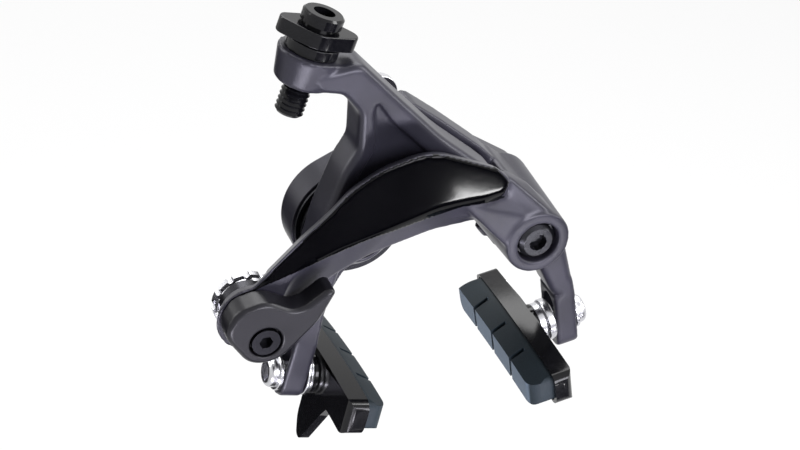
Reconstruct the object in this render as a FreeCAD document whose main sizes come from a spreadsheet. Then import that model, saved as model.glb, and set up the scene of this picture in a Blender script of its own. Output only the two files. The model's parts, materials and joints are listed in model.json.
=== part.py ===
import FreeCAD
import Part

import math
import os

import Sketcher

# Side-pull rim brake caliper with two pivots, for a bicycle. Millimetres.
# +Z is up, +Y points back into the fork, -Y is the front, +X is to the right
# as seen from the front. The origin is on the mounting bolt's axis, at the
# face that seats against the fork. The arms stand fully open, as they do
# without a cable: each joint's zero is this open pose.

Vector = FreeCAD.Vector
doc = FreeCAD.newDocument("RimBrakeCaliper")
sheet = doc.addObject("Spreadsheet::Sheet", "Sizes")

# Driving sizes: alias, value and what it is. Lengths in mm, angles in degrees.
SIZES = [
    # layout
    ("pivot_half_span", 21.0, "from the mounting bolt to each arm pivot, across"),
    ("pivot_drop", 12.0, "from the mounting bolt down to the arm pivots"),
    ("running_gap", 0.3, "gap between pieces that pass each other"),
    ("closing_angle", 15.0, "turn of each arm from open to the pads touching"),
    ("slip_fit", 0.03, "radial clearance of a piece on its pin"),
    # fork mounting
    ("mount_radius", 3.0, "mounting bolt, M6"),
    ("mount_tail", 20.0, "mounting bolt behind the seat face"),
    ("mount_head_radius", 5.6, "mounting bolt head"),
    ("mount_head_height", 2.0, "mounting bolt head"),
    ("mount_hex", 4.0, "socket in the mounting bolt head, across flats"),
    ("seat_radius", 8.0, "seat washer"),
    ("seat_thick", 2.0, "seat washer"),
    ("nut_start", 11.0, "sunken nut's front end behind the seat face"),
    ("nut_length", 15.0, "sunken nut"),
    ("nut_radius", 4.0, "sunken nut sleeve"),
    ("nut_flange_radius", 5.4, "sunken nut flange"),
    ("nut_flange", 2.5, "sunken nut flange thickness"),
    ("nut_hex", 5.0, "sunken nut socket, across flats"),
    ("nut_hex_depth", 4.5, "sunken nut socket depth"),
    # bridge and pivots
    ("bridge_thick", 4.5, "bridge plate"),
    ("bridge_end_radius", 8.0, "bridge plate round each pivot"),
    ("bridge_mid_radius", 8.6, "bridge plate round the mounting bolt"),
    ("pivot_radius", 3.0, "pivot bolt shank"),
    ("pivot_head_radius", 4.7, "pivot bolt head"),
    ("pivot_head_height", 2.4, "pivot bolt head"),
    ("star_radius", 2.8, "socket in the pivot bolt heads, over the lobes"),
    ("star_depth", 2.0, "socket in the pivot bolt heads"),
    ("bush_wall", 1.1, "pivot bush wall"),
    ("recess_radius", 5.5, "recess for a pivot bolt head"),
    ("left_recess_depth", 7.0, "recess for the left pivot bolt head"),
    ("right_recess_depth", 4.2, "recess for the right pivot bolt head"),
    ("dish_thick", 1.1, "washer under a pivot bolt head"),
    # spring housing at the left pivot
    ("housing_radius", 15.0, "spring housing"),
    ("housing_depth", 8.4, "spring housing, front to back"),
    ("housing_wall", 2.0, "spring housing wall"),
    ("housing_floor", 1.5, "spring housing floor"),
    ("housing_ear_x", 6.5, "spring housing's ear from the left pivot"),
    ("housing_ear_z", 14.5, "spring housing's ear from the left pivot"),
    ("housing_ear_radius", 5.0, "spring housing's ear"),
    ("hub_radius", 5.6, "hub inside the spring housing"),
    ("cover_radius", 14.4, "cover plate over the spring"),
    ("cover_thick", 1.0, "cover plate"),
    ("thrust_radius", 13.2, "thrust washer behind the left arm"),
    ("thrust_thick", 1.2, "thrust washer"),
    ("spring_wire", 1.8, "return spring wire"),
    ("spring_radius", 8.8, "return spring coil, to the wire's centre"),
    ("spring_pitch", 2.5, "return spring climb per turn"),
    # adjuster arm, on the left pivot
    ("arm_thick", 10.5, "adjuster arm, front to back"),
    ("arm_bevel", 1.1, "adjuster arm's front bevel"),
    ("left_boss_radius", 9.8, "adjuster arm round its pivot"),
    ("left_boss_nose", 6.4, "adjuster arm round its pivot, at the boss's front"),
    ("left_boss_back", 4.2, "that boss's front behind the arm's front"),
    ("left_boss_cone", 4.0, "taper of that boss, front to back"),
    ("arm_step", 4.3, "adjuster arm's wider rear layer, front to back"),
    ("web_depth", 1.2, "hollow in the adjuster arm's front"),
    ("adjuster_x", -17.5, "bottom of the adjuster boss from the left pivot"),
    ("adjuster_z", 44.0, "bottom of the adjuster boss from the left pivot"),
    ("adjuster_lean", 16.4, "lean of the adjuster axis with the arms open"),
    ("adjuster_back", 3.2, "adjuster axis in front of the arm's rear face"),
    ("boss_radius", 7.8, "adjuster boss at its top"),
    ("boss_foot_radius", 6.3, "adjuster boss at its bottom"),
    ("boss_height", 8.0, "adjuster boss"),
    ("link_x", 30.0, "link pin from the left pivot"),
    ("link_z", 13.0, "link pin from the left pivot"),
    ("link_pin_radius", 1.5, "link pin"),
    ("link_pin_head", 2.4, "link pin head radius"),
    ("roller_radius", 2.8, "link roller"),
    ("roller_play", 0.3, "gap on each side of the roller in its slot"),
    # cable adjuster, from the boss upwards along its axis
    ("stud_radius", 3.45, "threaded barrel, M7"),
    ("thread_pitch", 1.2, "barrel thread"),
    ("thread_depth", 0.5, "barrel thread"),
    ("stud_tail", 8.0, "barrel below the boss"),
    ("ring_radius", 6.3, "ring under the adjusting nut"),
    ("ring_height", 2.6, "ring under the adjusting nut"),
    ("wing_reach", 9.3, "adjusting nut, axis to wing tip"),
    ("wing_tip_radius", 2.6, "adjusting nut, wing tip"),
    ("wing_waist", 6.0, "adjusting nut round the barrel"),
    ("wing_height", 3.7, "adjusting nut"),
    ("wing_turn", 15.0, "adjusting nut's left wing, turned back"),
    ("neck_radius", 3.9, "groove between nut and barrel head"),
    ("neck_height", 0.8, "groove between nut and barrel head"),
    ("crown_radius", 4.95, "barrel head"),
    ("crown_height", 2.6, "barrel head"),
    ("hose_bore", 2.58, "bore for the cable housing"),
    ("hose_depth", 9.0, "bore for the cable housing"),
    ("wire_bore", 1.1, "bore for the inner cable"),
    # anchor arm, on the right pivot
    ("plate_thick", 7.2, "front plate of the anchor arm"),
    ("plate_edge", 3.4, "upright edge of the front plate behind its bevel"),
    ("anchor_x", -72.8, "quick release axis from the right pivot"),
    ("anchor_z", -9.8, "quick release axis from the right pivot"),
    ("anchor_end_radius", 8.9, "front plate round the quick release, at its front"),
    ("anchor_end_rear", 6.9, "front plate round the quick release, at its rear"),
    ("anchor_end_thick", 4.2, "front plate round the quick release, front to back"),
    ("plate_rake_x", 3.0, "top edge of the front plate, front to rear, across"),
    ("plate_rake_z", 4.2, "top edge of the front plate, front to rear, down"),
    ("boss_front_radius", 8.4, "right boss at its front"),
    ("boss_rear_radius", 9.6, "right boss at its rear"),
    ("hump_thick", 8.2, "link arm, front to back"),
    # quick release
    ("cam_radius", 6.0, "cam journal in the arm"),
    ("cam_offset", 2.9, "cable anchor bolt off the cam's centre"),
    ("cam_direction", -60.0, "direction of that offset, lever closed"),
    ("lever_thick", 6.4, "lever"),
    ("anchor_radius", 2.5, "cable anchor bolt, M5"),
    ("anchor_head_radius", 3.45, "cable anchor bolt head"),
    ("anchor_head_height", 2.8, "cable anchor bolt head"),
    ("anchor_recess", 4.1, "recess for that head in the lever"),
    ("anchor_recess_depth", 3.0, "recess for that head in the lever"),
    ("anchor_hex", 3.0, "socket in that head, across flats"),
    ("clamp_radius", 8.0, "cable clamp washers"),
    ("clamp_front_thick", 1.2, "cable clamp washer in front of the cable"),
    ("clamp_rear_thick", 1.6, "threaded cable clamp washer behind the cable"),
    ("clamp_notch", 0.8, "rim notch of the clamp washers, radius"),
    ("cable_gap", 1.5, "room for the inner cable in the clamp"),
    # legs and shoes: u runs outwards along each shoe bolt, v up the leg
    ("shoe_lean", 12.0, "outward lean of the legs with the arms open"),
    ("left_leg_x", 16.6, "left shoe bolt, out from the left pivot"),
    ("left_leg_z", 36.8, "left shoe bolt, below the left pivot"),
    ("left_leg_back", 6.5, "left shoe bolt in front of the left arm's rear face"),
    ("right_leg_x", 16.2, "right shoe bolt, out from the right pivot"),
    ("right_leg_z", 32.7, "right shoe bolt, below the right pivot"),
    ("right_leg_back", 5.8, "right shoe bolt in front of the left arm's rear face"),
    ("leg_thick", 6.0, "leg along the shoe bolt"),
    ("leg_deep", 10.0, "leg, front to back"),
    ("left_slot_up", 7.5, "left shoe's travel upwards in its slot"),
    ("left_slot_down", 0.3, "left shoe's travel downwards in its slot"),
    ("right_slot_up", 5.0, "right shoe's travel upwards in its slot"),
    ("right_slot_down", 2.8, "right shoe's travel downwards in its slot"),
    ("slot_wall", 1.8, "leg below and above the slot"),
    ("slot_play", 0.2, "gap on each side of the shoe bolt in its slot"),
    ("shoe_bolt_radius", 3.0, "shoe bolt, M6"),
    ("dome_radius", 3.8, "shoe bolt head"),
    ("dome_height", 2.4, "shoe bolt head"),
    ("shoe_hex", 4.0, "socket in the shoe bolt, across flats"),
    ("outer_washer_radius", 4.6, "washer under the shoe bolt head"),
    ("outer_washer_thick", 1.1, "washer under the shoe bolt head"),
    ("cup_radius", 5.6, "dished washers inside the leg"),
    ("left_cup_thick", 1.0, "each dished washer of the left shoe"),
    ("right_cup_thick", 2.2, "each dished washer of the right shoe"),
    ("left_shoe_pitch", 4.5, "left shoe's front end, tipped up"),
    ("right_shoe_pitch", 1.0, "right shoe's front end, tipped up"),
    ("rim_radius", 300.0, "curve of the wheel rim that the shoes follow"),
    ("left_pad_rise", 1.8, "left block's middle above the shoe bolt"),
    ("right_pad_rise", 0.9, "right block's middle above the shoe bolt"),
    ("holder_boss", 0.8, "holder's boss beyond its back"),
    ("holder_boss_radius", 5.2, "holder's boss"),
    ("holder_back", 4.4, "holder behind the rubber, at its boss"),
    ("holder_thick", 3.8, "holder behind the rubber"),
    ("holder_high", 9.6, "holder"),
    ("holder_length", 50.4, "holder"),
    ("left_holder_ahead", -1.2, "left holder's middle in front of the shoe bolt"),
    ("right_holder_ahead", 3.0, "right holder's middle in front of the shoe bolt"),
    ("taper_inset", 3.5, "outer taper starts this far from the holder's ends"),
    ("holder_nose", 3.0, "rounding of the holder's outer front edge"),
    ("seat_deep", 1.4, "rubber sunk in the holder"),
    ("rubber_thick", 7.4, "rubber block"),
    ("rubber_high", 8.6, "rubber block at the holder"),
    ("face_high", 6.4, "rubber block at its braking face"),
    ("face_drop", 1.0, "braking face below the middle of the block"),
    ("rubber_nose", 4.5, "rounding of the front inner end of the rubber"),
    ("rubber_length", 47.4, "rubber block"),
    ("groove_wide", 1.2, "water groove"),
    ("groove_deep", 4.2, "water groove"),
    ("groove_start", 10.9, "first water groove from the rear end"),
    ("groove_pitch", 11.6, "spacing of the water grooves"),
    ("keeper_radius", 1.7, "pad retaining screw head"),
    ("keeper_height", 1.3, "pad retaining screw head"),
    ("keeper_back", 17.0, "pad retaining screw behind the shoe bolt"),
    ("keeper_shank", 1.1, "pad retaining screw shank radius"),
    ("fin_rear", 4.4, "wheel guide's rear edge behind the shoe bolt"),
    ("fin_tip", -1.2, "wheel guide's tip ahead of the shoe bolt"),
    ("fin_front", 11.5, "wheel guide's front end ahead of the shoe bolt"),
    ("fin_drop", 22.0, "wheel guide's tip below the shoe bolt"),
    ("fin_thick", 2.4, "wheel guide"),
    # centring screw
    ("screw_radius", 1.5, "centring screw, M3"),
    ("screw_length", 9.5, "centring screw"),
    ("screw_hex", 1.5, "centring screw socket, across flats"),
    ("screw_x", -4.7, "centring screw's upper end from the right pivot"),
    ("screw_z", -6.8, "centring screw's upper end from the right pivot"),
    ("screw_back", 5.2, "centring screw in front of the link arm's rear face"),
    ("lug_radius", 2.4, "lug round the centring screw"),
    ("lug_length", 4.0, "lug round the centring screw"),
]

for row, (alias, value, note) in enumerate(SIZES, start=1):
    sheet.set("A%d" % row, note)
    sheet.set("B%d" % row, str(value))
    sheet.setAlias("B%d" % row, alias)
doc.recompute()


def size(alias):
    """Value of one cell of the sheet."""
    return float(sheet.get(alias))


# Layers from the fork to the front, along Y

GAP = size("running_gap")
SLIP = size("slip_fit")
BRIDGE_REAR = -size("seat_thick")
BRIDGE_FRONT = BRIDGE_REAR - size("bridge_thick")
HOUSING_FRONT = BRIDGE_FRONT - size("housing_depth")
COVER_FRONT = HOUSING_FRONT - size("cover_thick")
THRUST_REAR = COVER_FRONT - GAP
THRUST_FRONT = THRUST_REAR - size("thrust_thick")
ARM_REAR = THRUST_FRONT - GAP
ARM_FRONT = ARM_REAR - size("arm_thick")
PLATE_REAR = ARM_FRONT - GAP
PLATE_FRONT = PLATE_REAR - size("plate_thick")
LEVER_REAR = PLATE_FRONT - GAP
LEVER_FRONT = LEVER_REAR - size("lever_thick")
LINK_REAR = BRIDGE_FRONT - GAP
LINK_FRONT = LINK_REAR - size("hump_thick")

PIVOT_Z = -size("pivot_drop")
LEFT = Vector(-size("pivot_half_span"), 0, PIVOT_Z)
RIGHT = Vector(size("pivot_half_span"), 0, PIVOT_Z)
ANCHOR = RIGHT + Vector(size("anchor_x"), 0, size("anchor_z"))
LINK = LEFT + Vector(size("link_x"), 0, size("link_z"))
FRONTWARD = Vector(0, -1, 0)
REARWARD = Vector(0, 1, 0)

made = {}


# Document objects

def keep(obj, label):
    """Name a finished sub-part."""
    obj.Label = label
    made[label] = obj
    return obj


def place(obj, base, axis):
    """Stand an object's own Z along an axis."""
    obj.Placement = FreeCAD.Placement(base, FreeCAD.Rotation(Vector(0, 0, 1), axis))
    return obj


def at(base, axis, distance):
    """Point along an axis."""
    return base + axis * distance


def cylinder(name, radius, height, base, axis):
    obj = doc.addObject("Part::Cylinder", name)
    obj.setExpression("Radius", radius)
    obj.setExpression("Height", height)
    return place(obj, base, axis)


def hexagon(name, flats, height, base, axis):
    obj = doc.addObject("Part::Prism", name)
    obj.Polygon = 6
    obj.setExpression("Circumradius", "(%s) / 2 / cos(30)" % flats)
    obj.setExpression("Height", height)
    return place(obj, base, axis)


def cut(name, base, *tools):
    """Base without the tools."""
    for index, tool in enumerate(tools):
        last = doc.addObject("Part::Cut", "%s_%d" % (name, index))
        last.Base = base
        last.Tool = tool
        base = last
    return base


def worth(text):
    """Value of a sum of sizes."""
    total = 0.0
    for term in text.replace("-", "+-").split("+"):
        term = term.strip()
        if term:
            sign = -1.0 if term.startswith("-") else 1.0
            term = term.lstrip("- ")
            total += sign * (size(term[len("Sizes."):]) if term.startswith("Sizes.") else float(term))
    return total


def turned(name, profile, base, axis):
    """Turned body: profile lists (radius, height) along the axis as expressions."""
    body = doc.addObject("PartDesign::Body", name)
    plane = [f for f in body.Origin.OriginFeatures if f.Role == "XZ_Plane"][0]
    sketch = body.newObject("Sketcher::SketchObject", name + "_profile")
    sketch.AttachmentSupport = [(plane, "")]
    sketch.MapMode = "FlatFace"
    corners = [Vector(worth(radius), worth(height), 0) for radius, height in profile]
    count = len(corners)
    for index in range(count):
        sketch.addGeometry(Part.LineSegment(corners[index], corners[(index + 1) % count]), False)
    for index in range(count):
        sketch.addConstraint(Sketcher.Constraint("Coincident", index, 2, (index + 1) % count, 1))
    for index, texts in enumerate(profile):
        for kind, text in zip(("DistanceX", "DistanceY"), texts):
            row = sketch.addConstraint(Sketcher.Constraint(kind, -1, 1, index, 1, worth(text)))
            if "Sizes" in text:
                sketch.setExpression("Constraints[%d]" % row, text)
    turn = body.newObject("PartDesign::Revolution", name + "_turn")
    turn.Profile = sketch
    turn.ReferenceAxis = (sketch, ["V_Axis"])
    turn.Angle = 360.0
    return place(body, base, axis)


def sleeve(name, inner, outer, height, base, axis):
    """Plain ring: inner and outer radius as expressions."""
    return turned(name, [(inner, "0"), (outer, "0"), (outer, height), (inner, height)], base, axis)


def feature(name, shape, placement=None):
    """Sub-part whose outline is worked out here rather than by primitives."""
    obj = doc.addObject("Part::Feature", name)
    obj.Shape = shape
    if placement is not None:
        obj.Placement = placement
    return obj


# Shapes

def rounded(corners, y):
    """Closed wire in the plane y through (x, z, radius) corners.

    A radius shrinks where its neighbours leave less room."""
    points = [Vector(x, y, z) for x, z, _ in corners]
    count = len(points)
    ends = []
    for index, point in enumerate(points):
        before = points[index - 1] - point
        after = points[(index + 1) % count] - point
        turn = math.pi - before.getAngle(after)
        room = 0.48 * min(before.Length, after.Length)
        reach = min(corners[index][2] * math.tan(turn / 2), room)
        start = point + before.normalize() * reach
        stop = point + after.normalize() * reach
        middle = (start + stop) * 0.5
        radius = reach / math.tan(turn / 2)
        away = radius / math.cos(turn / 2) - radius
        ends.append((start, point + (middle - point).normalize() * away, stop))
    edges = []
    for index, (start, apex, stop) in enumerate(ends):
        edges.append(Part.Arc(start, apex, stop).toShape())
        edges.append(Part.LineSegment(stop, ends[(index + 1) % count][0]).toShape())
    return Part.Wire(edges)


def shifted(origin, corners):
    """Corners given from a pivot, moved to it."""
    return [(origin.x + x, origin.z + z, radius) for x, z, radius in corners]


def slab(corners, front, rear):
    """Rounded outline between two planes."""
    return Part.Face(rounded(corners, front)).extrude(Vector(0, rear - front, 0))


def drum(centre, radius, front, rear):
    return Part.makeCylinder(radius, rear - front, Vector(centre.x, front, centre.z), REARWARD)


def drum_cone(centre, front_radius, rear_radius, front, rear):
    base = Vector(centre.x, front, centre.z)
    return Part.makeCone(front_radius, rear_radius, rear - front, base, REARWARD)


def strap(first, first_radius, second, second_radius, front, rear):
    """Two discs and the tangent web between them."""
    along = Vector(second.x - first.x, 0, second.z - first.z)
    length = along.Length
    along.normalize()
    across = Vector(along.z, 0, -along.x)
    lean = (first_radius - second_radius) / length
    rise = math.sqrt(1 - lean * lean)
    corners = []
    for centre, radius, sides in ((first, first_radius, (1, -1)), (second, second_radius, (-1, 1))):
        for side in sides:
            normal = along * lean + across * (rise * side)
            corners.append(Vector(centre.x, front, centre.z) + normal * radius)
    web = Part.Face(Part.makePolygon(corners + corners[:1])).extrude(Vector(0, rear - front, 0))
    return web.fuse([drum(first, first_radius, front, rear), drum(second, second_radius, front, rear)])


def bevelled(shape, amount, front):
    """Chamfer every edge that lies in the front plane."""
    edges = [e for e in shape.Edges if all(abs(v.Y - front) < 1e-6 for v in e.Vertexes)]
    return shape.makeChamfer(amount, edges)


def tidy(shape):
    """One clean solid."""
    shape = shape.removeSplitter()
    return shape.Solids[0] if len(shape.Solids) == 1 else shape


# Fork mounting

SEAT = Vector(0, 0, 0)
bolt = turned("bolt_turned", [
    ("0", "0"),
    ("Sizes.mount_head_radius", "0"),
    ("Sizes.mount_head_radius", "Sizes.mount_head_height"),
    ("Sizes.mount_radius", "Sizes.mount_head_height"),
    ("Sizes.mount_radius", "Sizes.bridge_thick + Sizes.seat_thick + Sizes.mount_tail"),
    ("0", "Sizes.bridge_thick + Sizes.seat_thick + Sizes.mount_tail"),
], Vector(0, BRIDGE_FRONT, 0), REARWARD)
socket = hexagon("bolt_socket", "Sizes.mount_hex", "Sizes.mount_head_height - 0.4", Vector(0, BRIDGE_FRONT, 0), REARWARD)
keep(cut("bolt_cut", bolt, socket), "mounting_bolt")

keep(sleeve("seat_washer", "Sizes.mount_radius + Sizes.slip_fit", "Sizes.seat_radius", "Sizes.seat_thick", SEAT, FRONTWARD), "seat_washer")

nut = turned("nut_turned", [
    ("Sizes.mount_radius + Sizes.slip_fit", "0"),
    ("Sizes.nut_radius", "0"),
    ("Sizes.nut_radius", "Sizes.nut_length - Sizes.nut_flange"),
    ("Sizes.nut_flange_radius", "Sizes.nut_length - Sizes.nut_flange"),
    ("Sizes.nut_flange_radius", "Sizes.nut_length"),
    ("0", "Sizes.nut_length"),
    ("0", "Sizes.mount_tail - Sizes.nut_start + Sizes.running_gap"),
    ("Sizes.mount_radius + Sizes.slip_fit", "Sizes.mount_tail - Sizes.nut_start + Sizes.running_gap"),
], Vector(0, size("nut_start"), 0), REARWARD)
socket = hexagon("nut_socket", "Sizes.nut_hex", "Sizes.nut_hex_depth", Vector(0, size("nut_start") + size("nut_length"), 0), FRONTWARD)
keep(cut("nut_cut", nut, socket), "fork_nut")

# Bridge plate between the pivots

middle = Vector(0, 0, 0)
bridge = strap(LEFT, size("bridge_end_radius"), middle, size("bridge_mid_radius"), BRIDGE_FRONT, BRIDGE_REAR)
bridge = bridge.fuse(strap(middle, size("bridge_mid_radius"), RIGHT, size("bridge_end_radius"), BRIDGE_FRONT, BRIDGE_REAR))
bridge = bridge.cut(drum(middle, size("mount_radius") + SLIP, BRIDGE_FRONT, BRIDGE_REAR))
bridge = bridge.cut(drum(middle, size("mount_head_radius") + GAP, BRIDGE_FRONT, BRIDGE_FRONT + size("mount_head_height")))
for pivot in (LEFT, RIGHT):
    bridge = bridge.cut(drum(pivot, size("pivot_radius") + SLIP, BRIDGE_FRONT, BRIDGE_REAR))
keep(feature("bridge", tidy(bridge)), "bridge_plate")

# Pivot bolts, washers and bushes. Each bolt starts at the bridge's rear face.

for side, pivot, front in (("left", LEFT, ARM_FRONT), ("right", RIGHT, PLATE_FRONT)):
    start = Vector(pivot.x, BRIDGE_REAR, pivot.z)
    recess = side + "_recess_depth"
    seat = BRIDGE_REAR - front - size(recess)
    layers = "Sizes.bridge_thick + Sizes.housing_depth + Sizes.cover_thick + Sizes.thrust_thick"
    layers += " + Sizes.running_gap + Sizes.running_gap + Sizes.arm_thick"
    if side == "right":
        layers += " + Sizes.running_gap + Sizes.plate_thick"
    under = layers + " - Sizes.%s + Sizes.dish_thick + Sizes.running_gap" % recess
    bolt = turned("%s_pivot_turned" % side, [
        ("0", "0"),
        ("Sizes.pivot_radius", "0"),
        ("Sizes.pivot_radius", under),
        ("Sizes.pivot_head_radius", under),
        ("Sizes.pivot_head_radius", under + " + Sizes.pivot_head_height - 0.8"),
        ("Sizes.pivot_head_radius - 0.9", under + " + Sizes.pivot_head_height"),
        ("0", under + " + Sizes.pivot_head_height"),
    ], start, FRONTWARD)
    top = at(start, FRONTWARD, worth(under) + size("pivot_head_height"))
    star = [
        hexagon("%s_star_%d" % (side, half), "Sizes.star_radius * 1.5", "Sizes.star_depth", top, REARWARD)
        for half in (0, 1)
    ]
    star[1].Placement = star[1].Placement.multiply(FreeCAD.Placement(Vector(), FreeCAD.Rotation(30, 0, 0)))
    keep(cut("%s_pivot_cut" % side, bolt, *star), side + "_pivot_bolt")
    floor = at(start, FRONTWARD, seat)
    keep(turned("%s_dish" % side, [
        ("Sizes.pivot_radius + Sizes.slip_fit", "Sizes.running_gap"),
        ("Sizes.recess_radius - Sizes.running_gap", "Sizes.running_gap"),
        ("Sizes.recess_radius - Sizes.running_gap", "Sizes.running_gap + Sizes.dish_thick"),
        ("Sizes.pivot_radius + Sizes.slip_fit", "Sizes.running_gap + Sizes.dish_thick"),
    ], floor, FRONTWARD), side + "_pivot_washer")
    if side == "left":
        bush_start = Vector(pivot.x, ARM_REAR, pivot.z)
        bush_long = "Sizes.arm_thick - Sizes.left_recess_depth"
    else:
        bush_start = Vector(pivot.x, LINK_REAR, pivot.z)
        bush_long = layers + " - Sizes.right_recess_depth - Sizes.bridge_thick - Sizes.running_gap"
    keep(sleeve(
        "%s_bush_ring" % side,
        "Sizes.pivot_radius + Sizes.slip_fit",
        "Sizes.pivot_radius + Sizes.bush_wall",
        bush_long, bush_start, FRONTWARD,
    ), side + "_pivot_bush")

# Spring housing, return spring, cover and thrust washer at the left pivot

ear = LEFT + Vector(size("housing_ear_x"), 0, size("housing_ear_z"))
housing = strap(LEFT, size("housing_radius"), ear, size("housing_ear_radius"), HOUSING_FRONT, BRIDGE_FRONT)
floor_front = BRIDGE_FRONT - size("housing_floor")
well = drum(LEFT, size("housing_radius") - size("housing_wall"), HOUSING_FRONT, floor_front)
well = well.cut(drum(LEFT, size("hub_radius"), HOUSING_FRONT, floor_front))
housing = housing.cut(well).cut(drum(LEFT, size("pivot_radius") + SLIP, HOUSING_FRONT, BRIDGE_FRONT))
keep(feature("housing", tidy(housing)), "spring_housing")


def coil(radius, pitch, turns, wire, centre, start_y, lead):
    """Helix of arcs with straight leads, swept with a round wire."""
    def on(angle):
        place_on = Vector(radius * math.cos(angle), 0, radius * math.sin(angle))
        return centre + place_on + Vector(0, start_y - pitch * angle / (2 * math.pi), 0)

    def heading(angle):
        flat = Vector(-radius * math.sin(angle), -pitch / (2 * math.pi), radius * math.cos(angle))
        return flat.normalize()

    def arc(start, corner, stop):
        chord = (start + stop) * 0.5
        half = (corner - start).getAngle(stop - start)
        sagitta = (stop - start).Length / 2 * math.tan(half / 2)
        return Part.Arc(start, chord + (corner - chord).normalize() * sagitta, stop).toShape()

    step = math.pi / 2
    edges = [Part.LineSegment(on(0) - heading(0) * lead, on(0)).toShape()]
    for index in range(int(round(turns * 4))):
        first, last = on(index * step), on((index + 1) * step)
        out, back = heading(index * step), heading((index + 1) * step)
        span = last - first
        square = 2 * (1 - out.dot(back))
        linear = 2 * span.dot(out + back)
        reach = (-linear + math.sqrt(linear * linear + 4 * square * span.dot(span))) / (2 * square)
        joint = (first + out * reach + last - back * reach) * 0.5
        edges.append(arc(first, first + out * reach, joint))
        edges.append(arc(joint, last - back * reach, last))
    final = turns * 2 * math.pi
    edges.append(Part.LineSegment(on(final), on(final) + heading(final) * lead).toShape())
    path = Part.Wire(edges)
    ring = Part.Wire([Part.Circle(path.Edges[0].Vertexes[0].Point, heading(0), wire / 2).toShape()])
    return path.makePipeShell([ring], True, False)


SPRING_TURNS = 1.75
spring_start = floor_front - size("spring_wire") / 2 - GAP
keep(feature("spring", coil(
    size("spring_radius"), size("spring_pitch"), SPRING_TURNS, size("spring_wire"),
    LEFT, spring_start, size("spring_wire"),
)), "return_spring")
print("return spring: least gap between turns", size("spring_pitch") - size("spring_wire"))

ring_inner = "Sizes.pivot_radius + Sizes.slip_fit"
keep(sleeve("cover_ring", ring_inner, "Sizes.cover_radius", "Sizes.cover_thick", Vector(LEFT.x, HOUSING_FRONT, LEFT.z), FRONTWARD), "spring_cover")
keep(sleeve("thrust_ring", ring_inner, "Sizes.thrust_radius", "Sizes.thrust_thick", Vector(LEFT.x, THRUST_REAR, LEFT.z), FRONTWARD), "thrust_washer")

# Legs and shoes: own frame with X outwards along the shoe bolt, Z up the leg


def leg_frame(side):
    """Placement of a leg's frame; its own Y is side times the part's Y."""
    pivot, word = (RIGHT, "right") if side > 0 else (LEFT, "left")
    centre = Vector(
        pivot.x + side * size(word + "_leg_x"),
        ARM_REAR - size(word + "_leg_back"),
        pivot.z - size(word + "_leg_z"))
    lean = math.radians(size("shoe_lean"))
    outward = Vector(side * math.cos(lean), 0, math.sin(lean))
    up = Vector(-side * math.sin(lean), 0, math.cos(lean))
    turn = FreeCAD.Rotation(outward, Vector(0, side, 0), up, "XYZ")
    return FreeCAD.Placement(centre, turn)


def leg_foot(side):
    """Slotted lower end of a leg, in the leg's frame."""
    word = "right" if side > 0 else "left"
    half, deep = size("leg_thick") / 2, size("leg_deep") / 2
    hole = size("shoe_bolt_radius") + size("slot_play")
    low = -size(word + "_slot_down") - hole - size("slot_wall")
    high = size(word + "_slot_up") + hole + size("slot_wall")
    block = Part.makeBox(2 * half, 2 * deep, high - low, Vector(-half, -deep, low))
    corners = [e for e in block.Edges if all(abs(v.Z - low) < 1e-6 for v in e.Vertexes) and abs(e.tangentAt(0).x) > 0.9]
    block = block.makeFillet(min(3.4, deep - 0.5), corners)
    return block, low, high


def leg_slot(side):
    """Cutter for the slot, in the leg's frame."""
    word = "right" if side > 0 else "left"
    reach = size("leg_thick")
    hole = size("shoe_bolt_radius") + size("slot_play")
    low, high = -size(word + "_slot_down"), size(word + "_slot_up")
    ends = [
        Part.makeCylinder(hole, 2 * reach, Vector(-reach, 0, height), Vector(1, 0, 0))
        for height in (low, high)
    ]
    return Part.makeBox(2 * reach, 2 * hole, high - low, Vector(-reach, -hole, low)).fuse(ends)


def in_leg(side, shape):
    """A shape of the leg's frame in the part's frame."""
    moved = shape.copy()
    moved.Placement = leg_frame(side).multiply(moved.Placement)
    return moved


def leg_corner(side, u, v):
    """(x, z) of a place in the leg's frame."""
    spot = leg_frame(side).multVec(Vector(u, 0, v))
    return spot.x, spot.z


# Adjuster arm: corners from the left pivot, the adjuster boss and the link pin,
# each with its radius

lean = math.radians(size("adjuster_lean"))
ADJUST = Vector(math.sin(lean), 0, math.cos(lean))
BOSS = LEFT + Vector(size("adjuster_x"), ARM_REAR - size("adjuster_back"), size("adjuster_z"))
_, foot_low, foot_high = leg_foot(-1)
half_leg = size("leg_thick") / 2
left_foot_out = leg_corner(-1, half_leg, foot_high)
left_foot_in = leg_corner(-1, -half_leg, foot_high)
left_outline = shifted(BOSS, [
    (0.2, 4.6, 2.4),
    (12.5, 6.6, 4.0),
])
left_outline += shifted(LEFT, [
    (4.9, 40.5, 60.0),
    (17.3, 28.2, 60.0),
])
left_outline += shifted(LINK, [
    (-0.8, 5.8, 8.0),
    (3.0, 2.5, 3.5),
    (4.0, -4.0, 4.0),
    (-3.0, -8.0, 8.0),
])
front_belly = shifted(LEFT, [
    (14.0, 5.6, 10.0),
    (5.5, 1.6, 6.0),
    (-5.8, -3.2, 8.0),
])
rear_belly = shifted(LEFT, [
    (14.5, 5.2, 14.0),
    (8.8, -4.4, 9.0),
    (-2.6, -9.0, 8.0),
])
left_back = [(left_foot_in[0], left_foot_in[1], 3.0), (left_foot_out[0], left_foot_out[1], 3.0)]
left_back += shifted(LEFT, [
    (-14.4, -3.0, 16.0),
    (-11.8, 9.4, 30.0),
    (-7.4, 22.3, 20.0),
    (-4.2, 28.0, 5.0),
])
left_back += shifted(BOSS, [
    (13.0, -6.5, 4.0),
    (8.5, -1.2, 3.0),
    (2.4, 0.0, 2.4),
])
step_front = ARM_REAR - size("arm_step")
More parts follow.
